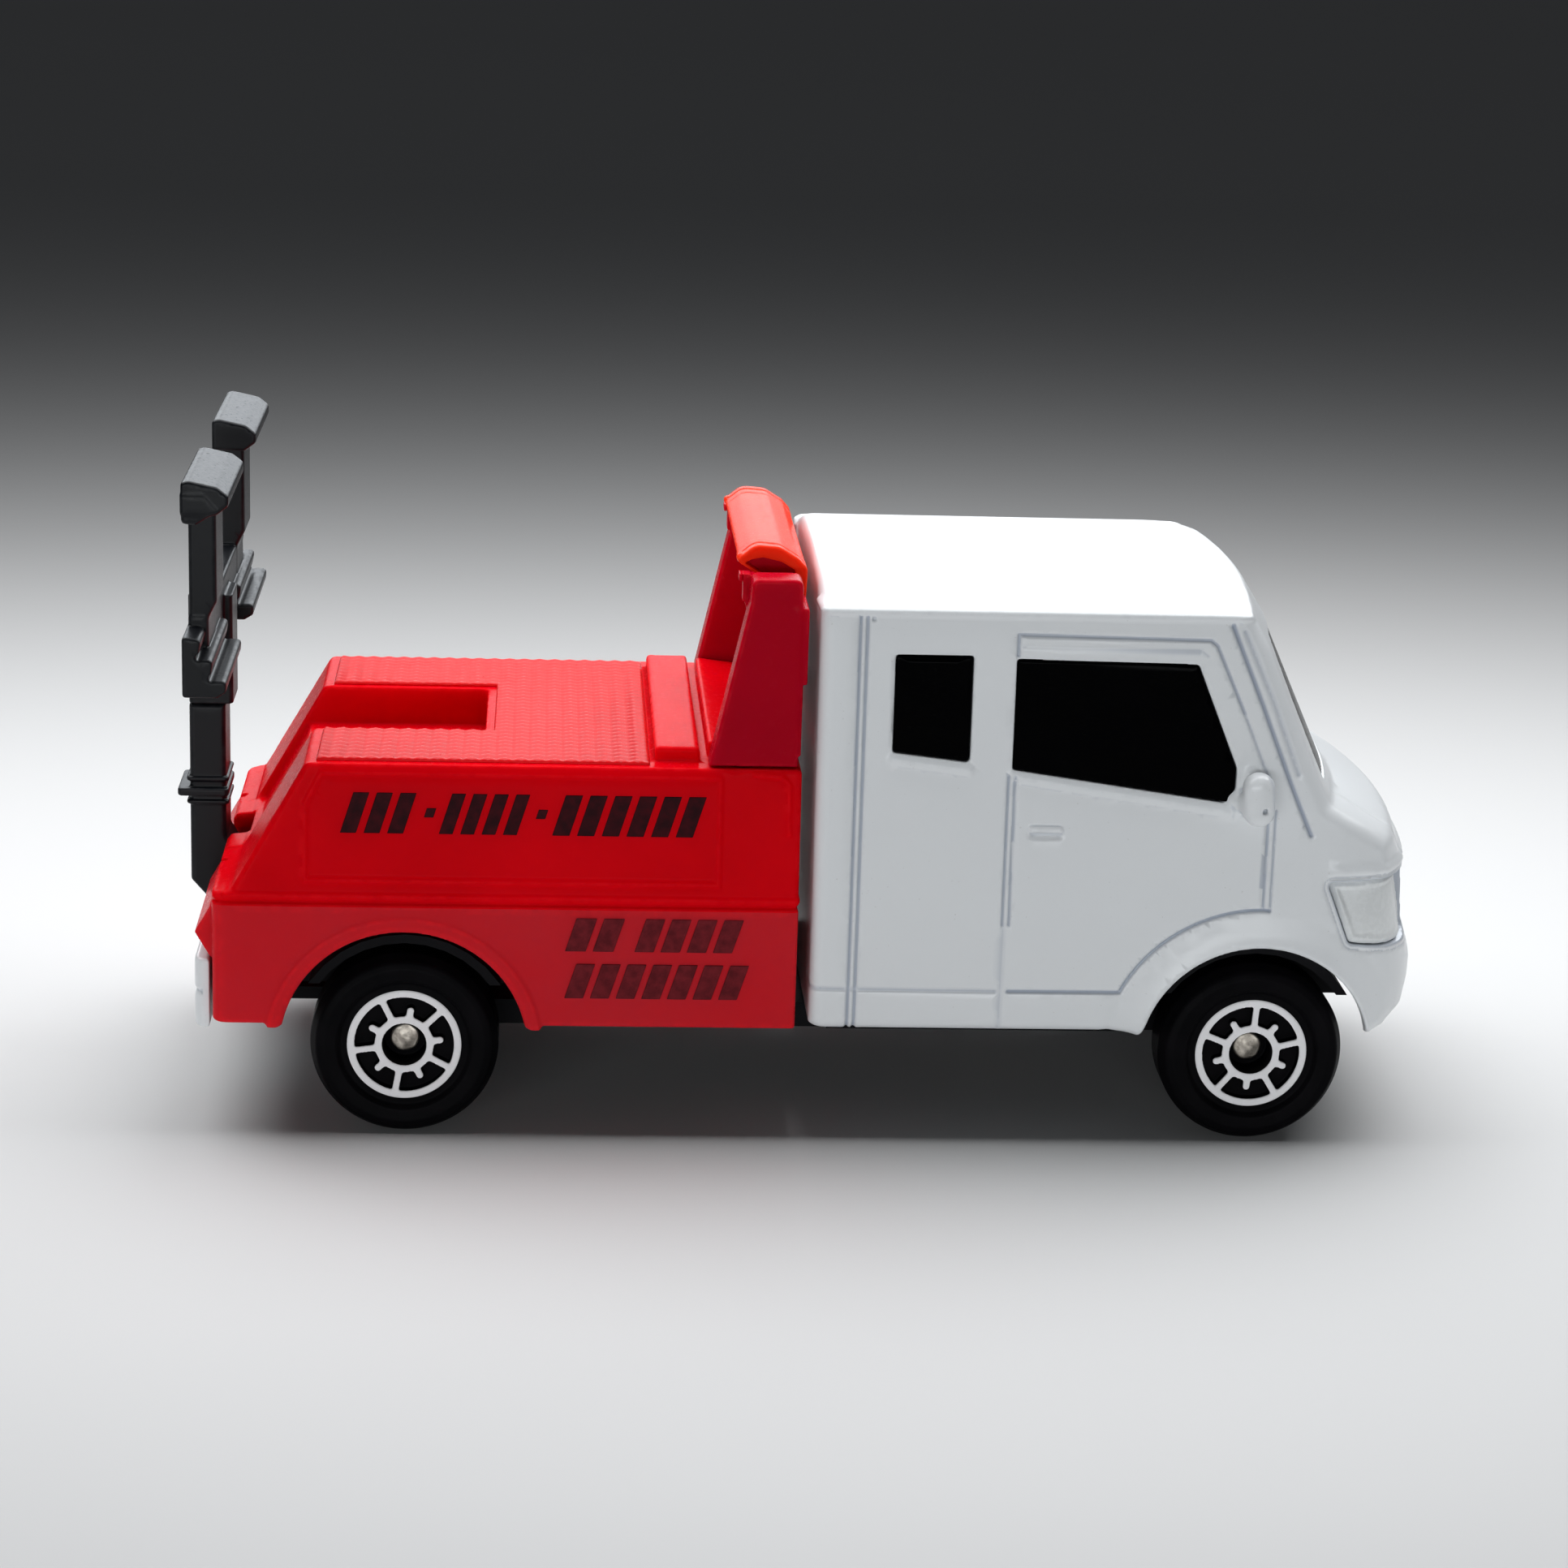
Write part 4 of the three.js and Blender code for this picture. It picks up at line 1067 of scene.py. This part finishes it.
PAD = [
    (CRADLE_REAR - 0.12, 38.85, 0.15), (-35.3, 38.85, 0.3), (-34.6, 39.4, 0.25), (-34.6, 40.0, 0.3),
    (-35.25, 40.5, 0.5), (-36.9, 40.85, 0.4), (CRADLE_REAR - 0.12, 40.75, 0.3),
]
PAD_BRACKET = [
    (CRADLE_REAR - 0.1, PAD_Z, 0.3), (-36.5, 38.25, 0.3), (-35.2, 39.1), (-36.0, 40.0),
    (CRADLE_REAR - 0.1, 40.0),
]
CHOCK = [
    (-37.4, 27.9, 0.2), (-35.4, 27.9, 0.3), (-34.85, 28.25, 0.2), (-34.8, 28.95, 0.3), (-35.8, 28.95),
    (-35.72, 29.3), (-35.55, 30.25, 0.36), (-36.5, 30.2), (-36.42, 30.5), (-36.25, 31.45, 0.38),
    (-37.4, 31.55, 0.2),
]
CHOCK_FURROWS = [(-35.65, 29.13), (-36.38, 30.37)]
COLLARS = [(18.1, 18.6, 0.75), (17.5, 17.8, 0.2), (19.0, 19.3, 0.2)]  # (low, high, how proud)


def make_boom(black):
    clay = Clay.around("boom_stem", (0.35, 0.3, 0.35), 0.07)
    foot = [
        (STEM_FRONT, STEM_TOP, 0.15), (STEM_REAR, STEM_TOP, 0.15), (STEM_REAR, 12.5, 0.4), (-37.3, 11.3, 0.4),
        *arc(PIVOT_X, PIVOT_Z, 1.5, 250, 360, 10), (STEM_FRONT, 15.4, 0.4),
    ]
    clay.add(prism(foot, -STEM_HALF, STEM_HALF, 0.3))

    def band(z0, z1, proud, x, y, z):
        shaft = meet(between(STEM_REAR - proud, STEM_FRONT + 0.2, x), y - STEM_HALF - proud / 2, 0.3)
        return meet(shaft, between(z0, z1, z), 0.12)

    for z0, z1, proud in COLLARS:
        clay.add(lambda x, y, z: band(z0, z1, proud, x, y, z), 0.08)
    clay.add(block((STEM_REAR + 0.5, STEM_FRONT - 0.5), (-1.1, 1.1), (23, 28)))
    clay.cut(bore(PIVOT_X, PIVOT_Z, 0.6), 0.08)
    place(clay.mesh("boom_stem_moulding", 0.005), "boom", black, "boom_plastic", ["boom_stem"])

    clay = Clay.around("wheel_cradle", (0.35, 0.3, 0.35), 0.085)
    rail = [
        (CRADLE_REAR, BAR_Z), (BAR_FRONT, BAR_Z), (BAR_FRONT, 31.9, 0.2), (CRADLE_FRONT, 33.0, 0.3),
        (CRADLE_FRONT, PAD_Z + 0.6), (CRADLE_REAR, PAD_Z + 0.6),
    ]

    def crossbar(x, y, z):
        across = meet(between(CRADLE_REAR, BAR_FRONT, x), between(BAR_Z, BAR_TOP_Z, z), 0.2)
        return meet(across, y - RAIL_OUT, 0.2)

    clay.add(crossbar)
    clay.add(prism(rail, RAIL_IN, RAIL_OUT, 0.28), 0.2)
    clay.add(prism(PAD, CRADLE_INNER, CRADLE_HALF, 0.2), 0.15)
    clay.add(prism(PAD_BRACKET, 14.2, CRADLE_HALF, 0.2), 0.2)

    def chock(x, y, z):
        shape = outline(CHOCK, x, z)
        for cx, cz in CHOCK_FURROWS:
            shape = meet(shape, 0.2 - radius_from(x, z, cx, cz), 0.05)
        return meet(shape, between(CRADLE_INNER, CRADLE_HALF, y), 0.16)

    clay.add(chock, 0.08)
    clay.add(lambda x, y, z: meet(
        meet(between(STEM_REAR, CRADLE_FRONT, x), y - STEM_HALF, 0.3), between(NECK_Z, 31.0, z), 0.04), 0.2)
    recess = ((-38, -36.4), (0, 16), (28, 39))
    clay.raise_by(
        lambda x, y, z: -0.16 * bump(np.maximum(between(8.5, 11.6, y), between(33.2, 37.6, z)), 0.3)
        * (x < -36.9), recess)
    clay.cut(lambda x, y, z: overlap(
        between(STEM_REAR + 0.35, STEM_FRONT - 0.35, x), y - 1.25, z - 28.2))
    place(clay.mesh("wheel_cradle_moulding", 0.005), "boom", black, "boom_plastic", ["wheel_cradle"])


# ---- Wheels ----

HUB_RING, HUB_HOLE, HUB_ANNULUS, STUB_FOOT, STUB_TIP = 3.42, 1.33, 1.8, 1.2, 2.2
SPOKES, POCKET_RING, SPOKE_HALF = 5, 3.03, 0.2
WHEEL_INNER, WHEEL_OUTER = 10.0, 13.8
HUB_FACE = WHEEL_OUTER - 0.28
POCKET_FLOOR = HUB_FACE - 0.6
WHEEL_PROFILE = rounded([
    (0.62, 9.2), (1.5, 9.2, 0.1), (1.5, 10.6), (4.6, 10.6, 0.2), (4.75, WHEEL_INNER, 0.1),
    (WHEEL_RADIUS - 0.4, WHEEL_INNER, 0.25), (WHEEL_RADIUS, 10.5, 0.3), (WHEEL_RADIUS, 12.9, 0.5),
    (5.35, 13.65, 0.4), (4.9, WHEEL_OUTER, 0.3), (4.15, 13.72, 0.12), (3.9, 13.42, 0.12), (3.52, 13.42, 0.05),
    (HUB_RING, HUB_FACE, 0.08), (HUB_HOLE + 0.02, HUB_FACE, 0.06), (HUB_HOLE, 11.7), (0.62, 11.7),
])
WHEEL_TURNS = {  # degrees that each wheel has rolled
    "front_left_wheel": 10.0, "front_right_wheel": -3.6, "rear_left_wheel": 40.0, "rear_right_wheel": 25.9,
}


def make_wheel():
    """One wheel round the origin's Y axis, outer face towards +Y."""
    edge = WHEEL_RADIUS + 0.2
    clay = Clay((-edge, 9.0, -edge), (edge, 14.0, edge), 0.07, mirror=False)
    x, z = clay.x, clay.z
    r = np.hypot(x, z)
    clay.d[...] = lathe(clay, WHEEL_PROFILE, edge * 1.5, 0.035)

    spokes = np.full(r.shape, EMPTY, np.float32)
    for k in range(SPOKES):
        a = math.radians(90 + 360 / SPOKES * k)
        along = x * math.cos(a) + z * math.sin(a)
        aside = np.abs(z * math.cos(a) - x * math.sin(a))
        spokes = join(spokes, np.maximum(aside - SPOKE_HALF, STUB_FOOT - along), 0.25)
        a += math.radians(180 / SPOKES)
        start, end = ((at * math.cos(a), 0, at * math.sin(a)) for at in (STUB_FOOT, STUB_TIP))
        stub = capsule(start, end, 0.21, x, 0, z)
        spokes = join(spokes, stub, 0.25)
    frame_rings = np.minimum(r - HUB_ANNULUS, POCKET_RING - r)
    pockets = -join(spokes, frame_rings, 0.14)
    clay.cut(lambda x, y, z: meet(pockets, POCKET_FLOOR - y, 0.1), 0.05)
    return clay.mesh("wheel", 0.005)


def make_wheels(plastic):
    shared = make_wheel()
    for node, turn in WHEEL_TURNS.items():
        low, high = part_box(node)
        centre = (low + high) / 2
        side = 0 if centre.y > 0 else math.pi
        matrix = Matrix.Translation((centre.x, 0, centre.z)) @ Matrix.Rotation(side, 4, "Z")
        mesh = shared.copy()
        mesh.name = node + "_moulding"
        mesh.transform(Matrix.Rotation(math.radians(turn), 4, "Y"))
        place(mesh, node.replace("wheel", "spin"), plastic, "wheel_plastic", [node], matrix)


AXLE_END, HEAD_RADIUS, AXLE_HEAD = 12.28, 0.87, 11.85


def make_axles(steel):
    """Each axle with upset, slightly uneven heads."""
    for node in ("front_axle", "rear_axle"):
        low, high = box_mm(node)
        centre = (low + high) / 2
        profile = rounded([
            (0.0, 0.0), (0.55, 0.0), (0.55, AXLE_HEAD), (HEAD_RADIUS, AXLE_HEAD, 0.06),
            (HEAD_RADIUS, 12.12, 0.14), (0.0, AXLE_END),
        ])
        clay = Clay((-1.1, 0, -1.1), (1.1, 12.5, 1.1), 0.06)
        clay.d[...] = lathe(clay, [(-r, y) for r, y in reversed(profile)] + profile, 1.7, 0.03)
        dents = 0.03 * np.sin(clay.x * 6.1 + 0.4) * np.cos(clay.z * 5.3 + 0.9) * (clay.y > 12.0)
        clay.d -= dents
        matrix = Matrix.Translation((centre.x * MM, 0, centre.z * MM))
        place(clay.mesh(node + "_turned", 0.005), "truck", steel, "steel", [node], matrix)


# ---- Base, bumper and fastenings ----

BUMPER_PLAN = [(-37.15, -13.2, 0.9), (-36.2, -13.2), (-36.2, 13.2), (-37.15, 13.2, 0.9)]
BUMPER_LOW, BUMPER_TOP, NOTCH_Z, NOTCH_HALF = 6.6, 11.0, 9.0, 2.8


def make_bumper(paint):
    clay = Clay.around("rear_bumper", (0.3, 0.3, 0.3), 0.08)
    clay.add(lambda x, y, z: meet(outline(BUMPER_PLAN, x, y), between(BUMPER_LOW, BUMPER_TOP, z), 0.25))
    clay.raise_by(lambda x, y, z: -0.14 * bump(np.abs(z - 8.9) + 0 * x, 0.3) * (x < -36.6))
    clay.cut(lambda x, y, z: np.maximum(y - NOTCH_HALF, NOTCH_Z - z) + 0 * x, 0.2)
    clay.add(block((-36.6, -32.2), (-4.0, 4.0), (6.0, 6.6)))
    place(clay.mesh("rear_bumper_moulding", 0.01), "truck", paint, "white_paint", ["rear_bumper"])


def finish_cad_nodes(black, steel):
    """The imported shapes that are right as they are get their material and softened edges."""
    for node, material in (
        ("base_plate", black), ("boom_pin", steel), ("front_rivet", steel), ("rear_rivet", steel),
    ):
        piece = frame["nodes"][node]
        piece.data.materials.clear()
        piece.data.materials.append(material)
        bevel = piece.modifiers.new("soft_edges", "BEVEL")
        bevel.width, bevel.segments, bevel.limit_method = 0.08 * MM, 2, "ANGLE"
        bevel.angle_limit = math.radians(40)
        bevel.use_clamp_overlap = True


# ---- Floor and light ----

FLOOR_HALF = 6.0  # in metres


def make_floor():
    mesh = bpy.data.meshes.new("floor")
    half = FLOOR_HALF
    corners = [(-half, -half, 0), (half, -half, 0), (half, half, 0), (-half, half, 0)]
    mesh.from_pydata(corners, [], [(0, 1, 2, 3)])
    floor = bpy.data.objects.new("floor", mesh)
    bpy.context.scene.collection.objects.link(floor)
    s = Surface("floor_white", Specular_IOR_Level=0.0)
    tone = s.ramp(s.noise(400.0), (0.3, 0.7), (0.7, 0.72))
    rough = s.ramp(s.noise(30.0), (0.3, 0.5), (0.7, 0.56))
    mesh.materials.append(s.finish(tone, rough))


LIGHT_TARGET = Vector((0.0, 0.0, 0.02))
SOFT_BOXES = [  # (name, place, width, height, watts, colour), in metres
    ("top_soft_box", (0.0, 0.035, 0.135), 0.3, 0.14, 0.5, (0.97, 0.985, 1.0)),
    ("front_fill", (-0.1, -0.55, 0.05), 0.6, 0.09, 1.07, (0.95, 0.98, 1.0)),
    ("rear_card", (0.03, 0.5, 0.155), 0.5, 0.17, 0.85, (0.9, 0.95, 1.0)),
]
WORLD_COLOUR, WORLD_STRENGTH = (0.5, 0.52, 0.55, 1), 0.06


def make_light():
    world = bpy.data.worlds.new("studio")
    bpy.context.scene.world = world
    world.use_nodes = True
    world.node_tree.nodes["Background"].inputs["Color"].default_value = WORLD_COLOUR
    world.node_tree.nodes["Background"].inputs["Strength"].default_value = WORLD_STRENGTH
    for name, place_at, width, height, watts, colour in SOFT_BOXES:
        light = bpy.data.lights.new(name, "AREA")
        light.shape, light.size, light.size_y = "RECTANGLE", width, height
        light.energy, light.color = watts, colour
        lamp = bpy.data.objects.new(name, light)
        bpy.context.scene.collection.objects.link(lamp)
        lamp.location = place_at
        lamp.rotation_euler = (LIGHT_TARGET - Vector(place_at)).to_track_quat("-Z", "Y").to_euler()
        lamp.visible_diffuse = name != "rear_card"  # the card only shows in the glossy tops
    bpy.context.scene.view_settings.view_transform = "Standard"


# ---- The truck ----

white_paint = enamel()
# The red's sides below the belt get a painted reflection of the floor.
red_plastic = glowing(
    "red_plastic", (0.66, 0.0005, 0.005), (0.75, 0.0008, 0.006), 0.26, 0.012,
    hazy=(BED_BELT - 0.1, (0.6, 0.02, 0.03)))
tread_plastic = glowing("tread_plastic", (0.78, 0.0008, 0.004), (0.84, 0.001, 0.005), 0.3, 0.3)
# A darker copy of the red plastic for the whole gantry: painted shade, as its fins get less light than the
# bed's sides.
shaded_gantry_red = glowing(
    "shaded_gantry_red", (0.4, 0.0005, 0.011), (0.46, 0.0008, 0.013), 0.26, 0.03, weight=0.3, wear=0.3)
orange_plastic = glowing(
    "light_bar_plastic", (0.9, 0.028, 0.006), (0.93, 0.04, 0.01), 0.24, 0.02, blue=0.0002)
black_plastic = moulded(
    "black_plastic", (0.003, 0.003, 0.004), (0.006, 0.006, 0.007), 0.5, peel=0.008, grain_mm=0.3,
    Specular_IOR_Level=0.06)
boom_plastic = moulded(
    "boom_plastic", (0.002, 0.0025, 0.004), (0.004, 0.005, 0.007), 0.36, peel=0.008, grain_mm=0.3, wear=0.45,
    Specular_IOR_Level=0.2)
window_black = glossy_black()
lamp_silver = metal("lamp_silver", (0.78, 0.8, 0.8), (0.82, 0.84, 0.84), 0.3, (1, 1, 4), metallic=0.05)
steel = metal("cropped_steel", (0.62, 0.57, 0.5), (0.42, 0.38, 0.33), 0.35, (1, 5, 1))
print_ink = thin_ink()

make_cab(white_paint, window_black, lamp_silver)
make_bed(red_plastic, tread_plastic)
make_graphics(print_ink)
make_gantry(shaded_gantry_red, orange_plastic)
make_boom(boom_plastic)
make_wheels(wheel_black())
make_axles(steel)
make_bumper(white_paint)
finish_cad_nodes(black_plastic, steel)
make_floor()
make_light()
